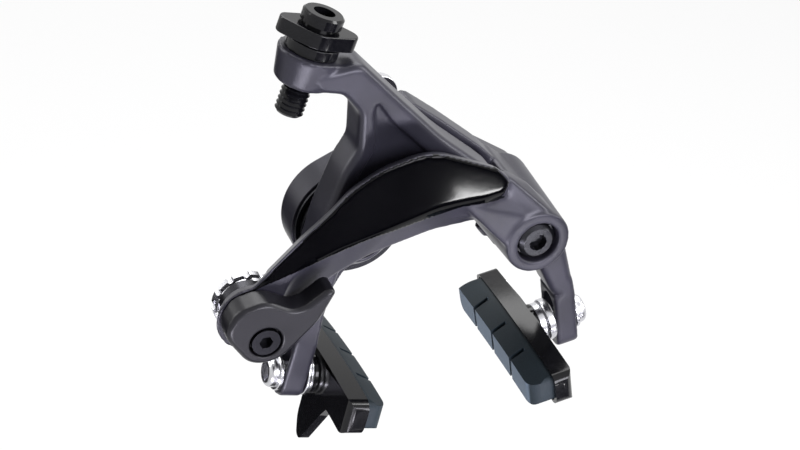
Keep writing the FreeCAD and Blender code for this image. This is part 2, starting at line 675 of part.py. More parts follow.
left_arm = bevelled(slab(left_outline + front_belly + left_back, ARM_FRONT, step_front), size("arm_bevel"), ARM_FRONT)
left_arm = left_arm.fuse(slab(left_outline + rear_belly + left_back, step_front, ARM_REAR))
boss_front = ARM_FRONT + size("left_boss_back")
cone_rear = boss_front + size("left_boss_cone")
left_arm = left_arm.fuse([
    drum_cone(LEFT, size("left_boss_nose"), size("left_boss_radius"), boss_front, cone_rear),
    drum(LEFT, size("left_boss_radius"), cone_rear, ARM_REAR),
])
foot, _, _ = leg_foot(-1)
left_arm = left_arm.fuse(in_leg(-1, foot))

left_arm = left_arm.fuse(Part.makeCone(
    size("boss_foot_radius"), size("boss_radius"), size("boss_height"), BOSS, ADJUST))
left_arm = left_arm.cut(Part.makeCylinder(
    size("stud_radius") + GAP, size("boss_height") * 4, at(BOSS, ADJUST, -size("boss_height")), ADJUST))
web = shifted(BOSS, [
    (16.5, -3.0, 3.0),
    (21.5, -10.0, 20.0),
]) + shifted(LINK, [
    (-15.0, 10.6, 20.0),
    (-16.0, 2.0, 6.0),
]) + shifted(LEFT, [
    (4.0, 12.0, 6.0),
    (-6.5, 12.0, 5.0),
    (-3.8, 21.0, 20.0),
    (-0.2, 28.0, 6.0),
]) + shifted(BOSS, [
    (16.1, -7.0, 3.0),
])
left_arm = left_arm.cut(slab(web, ARM_FRONT - 1, ARM_FRONT + size("web_depth")))
left_arm = left_arm.cut(in_leg(-1, leg_slot(-1)))
left_arm = left_arm.cut(drum(LEFT, size("pivot_radius") + size("bush_wall") + SLIP, ARM_FRONT, ARM_REAR))
left_arm = left_arm.cut(drum(LEFT, size("recess_radius"), ARM_FRONT, ARM_FRONT + size("left_recess_depth")))
left_arm = left_arm.cut(drum(LINK, size("link_pin_radius") + SLIP, ARM_FRONT, ARM_REAR))
left_arm = left_arm.cut(drum(LINK, size("link_pin_head") + SLIP, ARM_FRONT, ARM_FRONT + 1.4))
keep(feature("left_arm", tidy(left_arm)), "adjuster_arm")

# Link pin and roller

pin = turned("link_pin_turned", [
    ("0", "0"),
    ("Sizes.link_pin_head", "0"),
    ("Sizes.link_pin_head", "1.2"),
    ("Sizes.link_pin_radius", "1.2"),
    ("Sizes.link_pin_radius", "Sizes.arm_thick + Sizes.thrust_thick + Sizes.cover_thick + Sizes.hump_thick"),
    ("0", "Sizes.arm_thick + Sizes.thrust_thick + Sizes.cover_thick + Sizes.hump_thick"),
], Vector(LINK.x, ARM_FRONT + 0.2, LINK.z), REARWARD)
keep(pin, "link_pin")
keep(sleeve(
    "roller_ring", "Sizes.link_pin_radius + Sizes.slip_fit", "Sizes.roller_radius",
    "Sizes.hump_thick - 1.2", Vector(LINK.x, LINK_FRONT, LINK.z), REARWARD,
), "link_roller")

# Path of the link pin as the anchor arm sees it while both arms close


def turned_about(point, pivot, degrees):
    """Point turned about a pivot, clockwise as seen from the front."""
    turn = FreeCAD.Rotation(REARWARD, degrees)
    return pivot + turn.multVec(point - pivot)


track = []
for step in range(6):
    angle = size("closing_angle") * step / 5
    spot = turned_about(LINK, LEFT, -angle)
    track.append(turned_about(spot, RIGHT, -angle))
LINK_END = track[-1]

# Anchor arm: front plate, boss, shoulder, leg and link arm. The plate's corners
# are given from the quick release and from the right pivot.

left_end = [(-6.5, 3.2, 4.0), (-1.1, 8.9, 10.0)]
top_edge = [
    (-62.5, 11.0, 40.0),
    (-55.6, 17.4, 10.0),
    (-51.4, 22.4, 12.0),
    (-44.1, 27.4, 20.0),
    (-34.6, 30.2, 20.0),
    (-29.4, 30.0, 20.0),
    (-13.9, 23.8, 20.0),
    (-10.3, 20.1, 3.0),
]
wall_bottom = [
    (-9.4, 12.0, 4.0),
    (-12.0, 7.4, 6.0),
    (-20.3, 6.4, 10.0),
    (-27.3, 5.7, 20.0),
    (-42.1, 1.4, 40.0),
    (-52.2, -3.6, 40.0),
]
face_bottom = [
    (-10.7, 16.4, 1.2),
    (-16.0, 15.6, 10.0),
    (-21.5, 15.4, 20.0),
    (-28.0, 14.6, 20.0),
    (-37.7, 11.3, 40.0),
    (-52.3, 6.6, 40.0),
]
rear_end = [(7.8, -4.2, 10.0), (0.8, -7.0, 6.0), (-5.6, -3.6, 6.0)]
edge_end = [(7.2, -5.0, 10.0), (0.4, -8.2, 6.0), (-6.6, -4.0, 6.0)]
face_end = [(9.8, 12.4, 10.0), (4.3, -5.2, 6.0), (-6.2, -3.8, 5.0)]


def plate_wire(share, bottom, end, y):
    """Outline of the front plate where its top edge has a share of its rake."""
    across = share * size("plate_rake_x")
    down = share * size("plate_rake_z")
    top = shifted(ANCHOR, left_end) + shifted(RIGHT, top_edge)
    top = [(x + across, z - down, radius) for x, z, radius in top]
    return rounded(top + shifted(RIGHT, bottom) + shifted(ANCHOR, end), y)


edge_front = PLATE_REAR - size("plate_edge")
plate = Part.makeLoft([
    plate_wire(1.0, wall_bottom, rear_end, PLATE_REAR),
    plate_wire(0.6, wall_bottom, edge_end, edge_front),
    plate_wire(0.1, face_bottom, face_end, PLATE_FRONT),
], True, True)
end_rear = PLATE_FRONT + size("anchor_end_thick")
end = drum_cone(ANCHOR, size("anchor_end_radius"), size("anchor_end_rear"), PLATE_FRONT, end_rear)
neck_front = PLATE_FRONT + 2.2
neck = slab(shifted(RIGHT, [
    (-24.0, 12.0, 2.0),
    (-10.0, 16.2, 5.0),
    (-7.0, 11.5, 10.0),
    (-2.0, 7.6, 6.0),
    (5.0, 4.0, 4.0),
    (5.0, -6.0, 4.0),
    (-1.0, -7.6, 4.0),
    (-6.5, -3.0, 12.0),
    (-11.0, 4.2, 10.0),
    (-17.0, 7.8, 10.0),
    (-24.0, 8.4, 2.0),
]), neck_front, PLATE_REAR)
neck = bevelled(neck, 1.2, neck_front)
boss = drum_cone(RIGHT, size("boss_front_radius"), size("boss_rear_radius"), PLATE_FRONT, LINK_REAR)
shoulder = slab(shifted(RIGHT, [
    (-5.5, 14.0, 1.5),
    (-1.0, 10.6, 6.0),
    (5.0, 5.8, 4.0),
    (8.0, -2.0, 4.0),
    (0.0, -6.0, 4.0),
    (-5.5, 0.0, 3.0),
]), neck_front, LINK_REAR)
shoulder = bevelled(shoulder, 1.0, neck_front)
hump = slab(shifted(LINK_END, [
    (-8.4, 17.0, 3.5),
    (1.6, 9.8, 30.0),
]) + shifted(RIGHT, [
    (-7.7, 16.0, 30.0),
    (3.5, 4.6, 10.0),
    (6.0, -4.0, 5.0),
    (-4.0, -6.5, 6.0),
    (-10.0, 6.2, 10.0),
]) + shifted(LINK_END, [
    (-1.4, -6.8, 6.0),
    (-7.4, -2.4, 6.0),
    (-11.5, 10.6, 4.0),
]), LINK_FRONT, LINK_REAR)
right_foot, _, foot_high = leg_foot(1)
right_foot_out = leg_corner(1, half_leg, foot_high)
right_foot_in = leg_corner(1, -half_leg, foot_high)
leg_front = ARM_REAR - size("right_leg_back") - size("leg_deep") / 2
leg_rear = leg_front + size("leg_deep")
leg = slab(shifted(RIGHT, [
    (-6.0, -7.2, 3.0),
    (4.0, 6.0, 2.0),
    (9.6, 0.6, 6.0),
    (12.7, -8.9, 14.0),
]) + [
    (right_foot_out[0], right_foot_out[1], 3.0),
    (right_foot_in[0], right_foot_in[1], 3.0),
] + shifted(RIGHT, [
    (6.6, -15.0, 16.0),
    (1.9, -8.4, 8.0),
]), leg_front, leg_rear)
leg = bevelled(leg, 1.0, leg_front)
right_arm = plate.fuse([end, neck, boss, shoulder, hump, leg])
right_arm = right_arm.fuse(in_leg(1, right_foot))

SCREW_TIP = RIGHT + Vector(size("screw_x"), LINK_REAR - size("screw_back"), size("screw_z"))
SCREW_AXIS = Vector(0.61, 0, -0.79).normalize()
right_arm = right_arm.fuse(Part.makeCylinder(
    size("lug_radius"), size("lug_length"), at(SCREW_TIP, SCREW_AXIS, 1.0), SCREW_AXIS))
right_arm = right_arm.cut(Part.makeCylinder(
    size("screw_radius") + SLIP, size("screw_length") + 1.0, at(SCREW_TIP, SCREW_AXIS, -0.6), SCREW_AXIS))

# Slot for the link roller
slot_radius = size("roller_radius") + size("roller_play")
for spot, following in zip(track, track[1:]):
    right_arm = right_arm.cut(strap(spot, slot_radius, following, slot_radius, LINK_FRONT, LINK_REAR))
right_arm = right_arm.cut(in_leg(1, leg_slot(1)))
right_arm = right_arm.cut(drum(RIGHT, size("pivot_radius") + size("bush_wall") + SLIP, PLATE_FRONT, LINK_REAR))
right_arm = right_arm.cut(drum(RIGHT, size("recess_radius"), PLATE_FRONT, PLATE_FRONT + size("right_recess_depth")))
right_arm = right_arm.cut(drum(ANCHOR, size("cam_radius") + SLIP, PLATE_FRONT, PLATE_REAR))
right_arm = right_arm.cut(drum(ANCHOR, size("anchor_end_radius") + 0.6, end_rear, PLATE_REAR + 1.0))
keep(feature("right_arm", tidy(right_arm)), "anchor_arm")

screw = cylinder("screw_round", "Sizes.screw_radius", "Sizes.screw_length", SCREW_TIP, SCREW_AXIS)
screw_socket = hexagon("screw_socket", "Sizes.screw_hex", "2", at(SCREW_TIP, SCREW_AXIS, size("screw_length") - 2), SCREW_AXIS)
keep(cut("screw_cut", screw, screw_socket), "centring_screw")

# Quick release: lever, cam and cable anchor

offset = math.radians(size("cam_direction"))
BOLT = ANCHOR + Vector(math.cos(offset), 0, math.sin(offset)) * size("cam_offset")
lever = slab(shifted(ANCHOR, [
    (-5.6, 7.0, 5.0),
    (1.2, 9.0, 7.0),
    (7.6, 5.4, 30.0),
    (10.6, 5.6, 8.0),
    (16.1, 9.8, 3.0),
    (18.4, 9.2, 1.2),
    (14.6, 1.4, 14.0),
    (5.2, -8.6, 8.0),
    (-2.0, -9.0, 7.0),
    (-9.0, 0.8, 8.0),
]), LEVER_FRONT, LEVER_REAR)
lever = bevelled(lever, 0.9, LEVER_FRONT)
lever = lever.cut(drum(BOLT, size("anchor_recess"), LEVER_FRONT, LEVER_FRONT + size("anchor_recess_depth")))
lever = lever.cut(drum(BOLT, size("anchor_radius") + SLIP, LEVER_FRONT, LEVER_REAR))
keep(feature("lever", tidy(lever)), "release_lever")

cam_rear = PLATE_REAR + GAP
cam = drum(ANCHOR, size("cam_radius"), LEVER_REAR, cam_rear)
cam = cam.cut(drum(BOLT, size("anchor_radius") + SLIP, LEVER_REAR, cam_rear))
keep(feature("cam", tidy(cam)), "release_cam")

# Cable clamp behind the plate: a washer, the cable, a threaded washer
clamp_front = cam_rear + size("clamp_front_thick")
clamp_rear = clamp_front + size("cable_gap")
bolt_end = clamp_rear + size("clamp_rear_thick")
recess_floor = LEVER_FRONT + size("anchor_recess_depth")
anchor = drum(BOLT, size("anchor_radius"), recess_floor - 0.1, bolt_end)
anchor = anchor.fuse(drum(BOLT, size("anchor_head_radius"), recess_floor - size("anchor_head_height"), recess_floor))
anchor_socket = Part.Face(Part.makePolygon([
    Vector(BOLT.x, recess_floor - size("anchor_head_height"), BOLT.z)
    + FreeCAD.Rotation(REARWARD, 60.0 * step).multVec(Vector(size("anchor_hex") / 2 / math.cos(math.pi / 6), 0, 0))
    for step in range(7)
])).extrude(Vector(0, size("anchor_head_height") - 0.6, 0))
keep(feature("anchor", tidy(anchor.cut(anchor_socket))), "anchor_bolt")


def clamp_washer(front, rear):
    """Washer beside the cable with notches round its rim."""
    washer = drum(BOLT, size("clamp_radius"), front, rear)
    for step in range(12):
        spoke = FreeCAD.Rotation(REARWARD, 30.0 * step).multVec(Vector(size("clamp_radius"), 0, 0))
        washer = washer.cut(drum(BOLT + spoke, size("clamp_notch"), front, rear))
    return washer.cut(drum(BOLT, size("anchor_radius") + SLIP, front, rear))


keep(feature("clamp_front", tidy(clamp_washer(cam_rear, clamp_front))), "front_clamp_washer")
keep(feature("clamp_rear", tidy(clamp_washer(clamp_rear, bolt_end))), "rear_clamp_washer")

# Cable adjuster, stacked along its axis from the top of the boss

ring_base = at(BOSS, ADJUST, size("boss_height"))
nut_base = at(ring_base, ADJUST, size("ring_height"))
keep(sleeve("adjuster_ring", "Sizes.stud_radius + Sizes.running_gap", "Sizes.ring_radius", "Sizes.ring_height", ring_base, ADJUST), "adjuster_ring")

tail_base = at(BOSS, ADJUST, -size("stud_tail"))
stack = "Sizes.stud_tail + Sizes.boss_height + Sizes.ring_height + Sizes.wing_height"
total = worth(stack + " + Sizes.neck_height + Sizes.crown_height")
stud_profile = [("Sizes.wire_bore", "0")]
ribs = int(size("stud_tail") / size("thread_pitch"))
for rib in range(ribs):
    low = "%.3f" % (rib * size("thread_pitch"))
    high = "%.3f" % ((rib + 0.5) * size("thread_pitch"))
    stud_profile.append(("Sizes.stud_radius - Sizes.thread_depth", low))
    stud_profile.append(("Sizes.stud_radius", high))
stud_profile += [
    ("Sizes.stud_radius - Sizes.thread_depth", "%.3f" % (ribs * size("thread_pitch"))),
    ("Sizes.stud_radius", "%.3f" % (ribs * size("thread_pitch") + 0.3)),
    ("Sizes.stud_radius", stack),
    ("Sizes.neck_radius", stack),
    ("Sizes.neck_radius", stack + " + Sizes.neck_height"),
    ("Sizes.crown_radius", stack + " + Sizes.neck_height"),
    ("Sizes.crown_radius", stack + " + Sizes.neck_height + Sizes.crown_height - 0.5"),
    ("Sizes.crown_radius - 0.5", stack + " + Sizes.neck_height + Sizes.crown_height"),
    ("Sizes.hose_bore", stack + " + Sizes.neck_height + Sizes.crown_height"),
    ("Sizes.hose_bore", stack + " + Sizes.neck_height + Sizes.crown_height - Sizes.hose_depth"),
    ("Sizes.wire_bore", stack + " + Sizes.neck_height + Sizes.crown_height - Sizes.hose_depth"),
]
keep(turned("barrel", stud_profile, tail_base, ADJUST), "adjuster_barrel")

wings = []
reach = size("wing_reach") - size("wing_tip_radius")
for side in (-1, 1):
    tip = Vector(side * reach, 0, 0)
    wings.append(strap(Vector(0, 0, 0), size("wing_waist"), tip, size("wing_tip_radius"), 0, size("wing_height")))
wing_nut = wings[0].fuse(wings[1])
wing_nut = wing_nut.cut(drum(Vector(0, 0, 0), size("stud_radius") + SLIP, 0, size("wing_height")))
rise = FreeCAD.Rotation(Vector(1, 0, 0), 90)
turn = FreeCAD.Rotation(Vector(0, 0, 1), -size("wing_turn"))
upright = FreeCAD.Placement(nut_base, FreeCAD.Rotation(Vector(0, 0, 1), ADJUST).multiply(turn).multiply(rise))
keep(feature("wing_nut", tidy(wing_nut), upright), "adjuster_nut")

# Brake shoes


def bolt_washer(u, radius, thick):
    """Washer on the shoe bolt, from u outwards, with rounded rims."""
    shape = Part.makeCylinder(radius, thick, Vector(u, 0, 0), Vector(1, 0, 0))
    rims = [e for e in shape.Edges if e.Length > radius * 6]
    shape = shape.makeFillet(min(0.5, thick / 3), rims)
    hole = Part.makeCylinder(size("shoe_bolt_radius") + SLIP, thick, Vector(u, 0, 0), Vector(1, 0, 0))
    return shape.cut(hole)


def box_between(low_u, high_u, low_y, high_y, low_v, high_v):
    return Part.makeBox(high_u - low_u, high_y - low_y, high_v - low_v, Vector(low_u, low_y, low_v))


def edges_along(shape, direction):
    return [e for e in shape.Edges if abs(e.tangentAt(0).dot(direction)) > 0.9]


def arched(section, middle_y, middle_v, half_length):
    """Sweep a section drawn in the plane y = 0 along the wheel rim's curve."""
    centre = Vector(0, middle_y, middle_v - size("rim_radius"))
    sweep = math.degrees(2 * half_length / size("rim_radius"))
    face = Part.Face(Part.makePolygon(section))
    face.translate(Vector(0, middle_y, 0))
    face.rotate(centre, Vector(1, 0, 0), -sweep / 2)
    return face.revolve(centre, Vector(1, 0, 0), sweep)


def arched_box(low_u, high_u, middle_y, middle_v, half_length, half_high):
    low_v, high_v = middle_v - half_high, middle_v + half_high
    corners = [(low_u, low_v), (high_u, low_v), (high_u, high_v), (low_u, high_v), (low_u, low_v)]
    return arched([Vector(u, 0, v) for u, v in corners], middle_y, middle_v, half_length)


def rounded_end(low_u, high_u, middle_y, middle_v, half_length, corner_u, end_y, radius):
    """Block with one upright edge rounded, used to round the nose of a shoe."""
    block = box_between(low_u, high_u, middle_y - half_length, middle_y + half_length, middle_v - 12, middle_v + 12)
    corners = [
        e for e in edges_along(block, Vector(0, 0, 1))
        if abs(e.Vertexes[0].X - corner_u) < 1e-6 and abs(e.Vertexes[0].Y - end_y) < 1e-6
    ]
    return block.makeFillet(radius, corners)


for side, word in ((-1, "left"), (1, "right")):
    frame = leg_frame(side)
    ahead = -side
    outer = bolt_washer(half_leg, size("outer_washer_radius"), size("outer_washer_thick"))
    keep(feature(word + "_outer", outer, frame), word + "_outer_washer")
    cup_thick = size(word + "_cup_thick")
    cups = [
        bolt_washer(-half_leg - cup_thick, size("cup_radius"), cup_thick),
        bolt_washer(-half_leg - 2 * cup_thick, size("cup_radius") - 0.5, cup_thick),
    ]
    keep(feature(word + "_cups", Part.makeCompound(cups), frame), word + "_dished_washers")

    # Shoe bolt: domed head outside the leg, shank through to the holder
    back = -half_leg - 2 * cup_thick - size("holder_boss")
    base = back - size("holder_back")
    head_u = half_leg + size("outer_washer_thick")
    shank_end = back - size("holder_back") / 2
    shank = Part.makeCylinder(size("shoe_bolt_radius"), head_u - shank_end, Vector(shank_end, 0, 0), Vector(1, 0, 0))
    dome = Part.makeCylinder(size("dome_radius"), size("dome_height"), Vector(head_u, 0, 0), Vector(1, 0, 0))
    rim = [e for e in dome.Edges if all(abs(v.X - head_u - size("dome_height")) < 1e-6 for v in e.Vertexes)]
    dome = dome.makeFillet(size("dome_height") * 0.6, rim[:1])
    hex_shape = Part.Face(Part.makePolygon([
        Vector(head_u + size("dome_height"), 0, 0)
        + FreeCAD.Rotation(Vector(1, 0, 0), 60.0 * step).multVec(Vector(0, size("shoe_hex") / 2 / math.cos(math.pi / 6), 0))
        for step in range(7)
    ])).extrude(Vector(-size("dome_height") + 0.6, 0, 0))
    keep(feature(word + "_shoe_bolt", tidy(shank.fuse(dome).cut(hex_shape)), frame), word + "_shoe_bolt")

    # The shoe itself swivels on the bolt
    pitch = size(word + "_shoe_pitch")
    tilt = FreeCAD.Rotation(Vector(1, 0, 0), -side * pitch)
    shoe_frame = frame.multiply(FreeCAD.Placement(Vector(), tilt))

    # Holder: channel round the rubber, wedge, boss and wheel guide
    middle_y = ahead * size(word + "_holder_ahead")
    middle_v = size(word + "_pad_rise")
    long_half = size("holder_length") / 2
    high_half = size("holder_high") / 2
    top_u = base + size("holder_thick")
    channel = arched_box(base - size("seat_deep"), top_u, middle_y, middle_v, long_half, high_half)
    channel = channel.makeFillet(high_half * 0.62, edges_along(channel, Vector(1, 0, 0)))
    nose_y = middle_y + ahead * long_half
    channel = channel.common(rounded_end(
        base - 20, top_u, middle_y, middle_v, long_half, top_u, nose_y, size("holder_nose")))
    boss_half = size("holder_boss_radius") + 1.0
    shelf = top_u - 0.2
    rear_end = middle_y - long_half + size("taper_inset")
    front_end = middle_y + long_half - size("taper_inset")
    wedge_low = middle_v - high_half * 0.97
    wedge = Part.Face(Part.makePolygon([
        Vector(base + 1.0, rear_end, wedge_low),
        Vector(shelf, rear_end, wedge_low),
        Vector(back, -boss_half, wedge_low),
        Vector(back, boss_half, wedge_low),
        Vector(shelf, front_end, wedge_low),
        Vector(base + 1.0, front_end, wedge_low),
        Vector(base + 1.0, rear_end, wedge_low),
    ])).extrude(Vector(0, 0, high_half * 1.8))
    stub = Part.makeCylinder(
        size("holder_boss_radius"), size("holder_boss") + 2.0, Vector(back - 2.0, 0, 0), Vector(1, 0, 0))
    fin_top = middle_v - high_half
    fin = slab([
        (-size("fin_rear"), fin_top + 1.5, 0.3),
        (-size("fin_rear"), -size("fin_drop") + 7.0, 8.0),
        (size("fin_tip"), -size("fin_drop"), 2.0),
        (size("fin_front") - 4.0, fin_top - 5.0, 4.0),
        (size("fin_front"), fin_top + 0.3, 2.0),
        (size("fin_front"), fin_top + 1.5, 0.3),
    ], 0, size("fin_thick"))
    fin.rotate(Vector(0, 0, 0), Vector(0, 0, 1), 90 * ahead)
    fin.translate(Vector(base + 0.3 - fin.BoundBox.XMin, 0, 0))
    holder = channel.fuse([wedge, stub, fin])
    rubber_half = size("rubber_length") / 2
    rubber_round = size("rubber_high") * 0.3
    pocket = arched_box(
        base - size("seat_deep"), base, middle_y, middle_v,
        rubber_half + GAP, size("rubber_high") / 2 + GAP)
    holder = holder.cut(pocket.makeFillet(rubber_round + GAP, edges_along(pocket, Vector(1, 0, 0))))
    holder = holder.cut(Part.makeCylinder(
        size("shoe_bolt_radius") + SLIP, 20, Vector(shank_end - 0.2, 0, 0), Vector(1, 0, 0)))
    keeper_y = -ahead * size("keeper_back")
    spot = Vector(top_u - 2.4, keeper_y, middle_v)
    flat = Part.makeCylinder(size("keeper_radius") + 0.5, 6, Vector(top_u, keeper_y, middle_v), Vector(1, 0, 0))
    holder = holder.cut(flat)
    holder = holder.cut(Part.makeCylinder(size("keeper_shank") + SLIP, 3, spot, Vector(1, 0, 0)))
    keep(feature(word + "_holder_body", tidy(holder), shoe_frame), word + "_pad_holder")

    keeper = Part.makeCylinder(size("keeper_shank"), 2.4, spot, Vector(1, 0, 0))
    keeper = keeper.fuse(Part.makeCylinder(
        size("keeper_radius"), size("keeper_height"), Vector(top_u, keeper_y, middle_v), Vector(1, 0, 0)))
    keep(feature(word + "_keeper", tidy(keeper), shoe_frame), word + "_pad_screw")

    # Rubber block, tapered towards the braking face, with water grooves
    face_u = base - size("rubber_thick")
    shoulder_u = base - size("seat_deep") - 1.0
    high = size("rubber_high") / 2
    face = size("face_high") / 2
    low_face = middle_v - size("face_drop") - face
    high_face = middle_v - size("face_drop") + face
    section = [
        Vector(base, 0, middle_v - high),
        Vector(shoulder_u, 0, middle_v - high),
        Vector(face_u, 0, low_face),
        Vector(face_u, 0, high_face),
        Vector(shoulder_u, 0, middle_v + high),
        Vector(base, 0, middle_v + high),
        Vector(base, 0, middle_v - high),
    ]
    rubber = arched(section, middle_y, middle_v, rubber_half)
    blank = arched_box(face_u - 1, base + 1, middle_y, middle_v, rubber_half, high)
    rubber = rubber.common(blank.makeFillet(rubber_round, edges_along(blank, Vector(1, 0, 0))))
    rubber = rubber.common(rounded_end(
        face_u, base + 1, middle_y, middle_v, rubber_half,
        face_u, middle_y + ahead * rubber_half, size("rubber_nose")))
    centre = Vector(0, middle_y, middle_v - size("rim_radius"))
    for index in range(3):
        from_rear = size("groove_start") + index * size("groove_pitch")
        offset = ahead * (from_rear - rubber_half)
        groove = box_between(
            face_u - 1, face_u + size("groove_deep"),
            middle_y - size("groove_wide") / 2, middle_y + size("groove_wide") / 2,
            middle_v - high - 1, middle_v + high + 1)
        groove.rotate(centre, Vector(1, 0, 0), -math.degrees(offset / size("rim_radius")))
        rubber = rubber.cut(groove)
    keep(feature(word + "_rubber", tidy(rubber), shoe_frame), word + "_brake_pad")

# Check every object, then write each sub-part

doc.recompute()
for obj in doc.Objects:
    if "Invalid" in obj.State or "Error" in obj.State:
        raise RuntimeError("%s did not build: %s" % (obj.Name, obj.State))
os.makedirs("parts", exist_ok=True)
for label, obj in made.items():
    shape = obj.Shape
    if shape.isNull() or not shape.isValid() or not shape.Solids:
        raise RuntimeError("%s has no valid solid" % label)
    shape.exportStep("parts/%s.step" % label)
    box = shape.BoundBox
    print("%-22s %d solid  %.0f mm3  x %.1f..%.1f  y %.1f..%.1f  z %.1f..%.1f" % (
        label, len(shape.Solids), shape.Volume, box.XMin, box.XMax, box.YMin, box.YMax, box.ZMin, box.ZMax))
print(len(made), "sub-parts")
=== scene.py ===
# %% [markdown]
# A bicycle rim brake caliper, dressed for a studio picture
#
# The CAD model already holds every solid in its true place. This file loads it, sets up
# a camera and a plain white studio, and then gives each piece its finish: satin
# anthracite paint on the arms, gloss black on the shoe holders and the panel of the
# front plate, slate blue-grey rubber, and plated steel for the fasteners.

import bpy
import bmesh
import json
import math
from mathutils import Matrix, Vector
from mathutils.bvhtree import BVHTree


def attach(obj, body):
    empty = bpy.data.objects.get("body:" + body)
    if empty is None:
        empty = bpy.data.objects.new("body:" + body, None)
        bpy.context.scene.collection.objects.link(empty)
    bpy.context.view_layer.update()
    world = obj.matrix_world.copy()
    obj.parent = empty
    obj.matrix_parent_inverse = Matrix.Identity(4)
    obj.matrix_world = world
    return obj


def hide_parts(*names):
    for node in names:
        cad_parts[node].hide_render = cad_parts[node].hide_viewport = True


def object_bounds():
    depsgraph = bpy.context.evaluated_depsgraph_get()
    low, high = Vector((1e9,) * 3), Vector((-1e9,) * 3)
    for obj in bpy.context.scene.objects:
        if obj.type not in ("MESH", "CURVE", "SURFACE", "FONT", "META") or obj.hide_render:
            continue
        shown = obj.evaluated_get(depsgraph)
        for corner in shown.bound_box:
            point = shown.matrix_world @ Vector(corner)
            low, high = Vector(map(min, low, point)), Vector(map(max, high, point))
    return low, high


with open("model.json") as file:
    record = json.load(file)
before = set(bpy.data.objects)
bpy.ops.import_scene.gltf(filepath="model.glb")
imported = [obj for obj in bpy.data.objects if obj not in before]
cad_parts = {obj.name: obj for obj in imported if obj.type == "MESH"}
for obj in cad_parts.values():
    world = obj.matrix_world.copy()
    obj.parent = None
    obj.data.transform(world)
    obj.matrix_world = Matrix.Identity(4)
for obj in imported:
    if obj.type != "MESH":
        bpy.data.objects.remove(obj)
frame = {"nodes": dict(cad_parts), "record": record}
cad_box = [list(corner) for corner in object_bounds()]
nodes = frame["nodes"]
record = frame["record"]
MM = 0.001

# %% [markdown]
# The camera
#
# The picture was taken from in front, from the left and from above, with the camera
# rolled a little. The rolled frame could be built from three angles, but the three
# axes of the camera, fitted to the pivots, shoes and adjuster, are plainer to read:
# where its right, its up and its back point in the caliper's own frame. The long lens
# keeps the near arm and the far shoe almost the same scale.

# %% Camera
CAMERA_PLACE = Vector((-162.07, -360.41, 226.56)) * MM
CAMERA_RIGHT = Vector((0.930167, -0.357145, 0.085074))
CAMERA_UP = Vector((0.126937, 0.530281, 0.838265))
CAMERA_BACK = Vector((-0.344496, -0.768927, 0.538585))
FOCAL_PX = 1800.0
FRAME_WIDE, FRAME_HIGH = 800, 450
SENSOR_WIDE_MM = 36.0
NEAREST_SEEN_MM = 10.0


def put(name, data):
    """Makes an object from its data and places it in the scene."""
    thing = bpy.data.objects.new(name, data)
    bpy.context.scene.collection.objects.link(thing)
    return thing


def add_camera():
    data = bpy.data.cameras.new("studio_camera")
    data.sensor_width = SENSOR_WIDE_MM
    data.lens = FOCAL_PX / FRAME_WIDE * SENSOR_WIDE_MM
    data.clip_start = NEAREST_SEEN_MM * MM
    camera = put("studio_camera", data)
    turn = Matrix((CAMERA_RIGHT, CAMERA_UP, CAMERA_BACK)).transposed().to_4x4()
    camera.matrix_world = Matrix.Translation(CAMERA_PLACE) @ turn
    bpy.context.scene.camera = camera
    return camera


lens_mm = add_camera().data.lens
print("lens %.0f mm, %.0f mm from the mounting bolt" % (lens_mm, CAMERA_PLACE.length / MM))

# %% [markdown]
# The lamps
#
# A caliper on a white page is lit by large soft boxes, and its lower sides glow with
# light thrown back by the white table. Area lamps do that here: a broad one above and
# behind, a box at the left, a narrow strip at the right for the long highlights on the
# arms, a low one for the glow of the table and a fill in front. A sixth, no bigger than
# a stamp, only puts the pale reflection on the gloss panel. It could be painted on, but
# a lamp's reflection slides over the gloss as a real one does when the arm swings.

# %% Lamps
STUDIO_MIDDLE = Vector((-0.010, -0.020, -0.010))
TABLE_TINT = (0.92, 0.90, 1.0)
FILL_TINT = (0.93, 0.92, 1.0)


def soft_box(name, place, wide, high, watts, tint=(1.0, 1.0, 1.0)):
    """A rectangular lamp that is aimed at the caliper. Its sizes are in metres."""
    data = bpy.data.lights.new(name, "AREA")
    data.shape = "RECTANGLE"
    data.size, data.size_y = wide, high
    data.energy = watts
    data.color = tint
    lamp = put(name, data)
    lamp.location = Vector(place)
    aim = STUDIO_MIDDLE - lamp.location
    lamp.rotation_euler = aim.to_track_quat("-Z", "Y").to_euler()
    print("%-12s %3.0f x %3.0f mm, %.2f W" % (name, wide / MM, high / MM, watts))


soft_box("top_box", (0.10, 0.30, 0.50), 0.60, 0.50, watts=4.8)
soft_box("left_box", (-0.50, 0.30, 0.25), 0.20, 0.45, watts=1.6)
soft_box("right_strip", (0.50, -0.15, 0.30), 0.12, 0.50, watts=2.4)
soft_box("table_glow", (-0.05, -0.34, -0.21), 0.60, 0.06, watts=3.1, tint=TABLE_TINT)
soft_box("front_fill", (0.12, -0.45, 0.16), 0.30, 0.20, watts=2.6, tint=FILL_TINT)
soft_box("panel_glint", (0.101, -0.223, -0.131), 0.022, 0.015, watts=0.060)

# %% [markdown]
# Wiring shader nodes
#
# Everything that follows is built from shader nodes. They could be wired one call at a
# time, but most lines would then say the same thing. One helper makes a node, sets its
# sockets by name or number, and links a socket where it is handed an output.

# %% A helper for shader nodes
def add_node(tree, kind, sockets=(), **settings):
    """A shader node whose sockets are set to values or linked to outputs."""
    node = tree.nodes.new("ShaderNode" + kind)
    for key, value in settings.items():
        setattr(node, key, value)
    for key, value in dict(sockets).items():
        if isinstance(value, bpy.types.NodeSocket):
            tree.links.new(value, node.inputs[key])
        else:
            node.inputs[key].default_value = value
    return node


def calculate(tree, operation, first, second):
    return add_node(tree, "Math", {0: first, 1: second}, operation=operation).outputs[0]


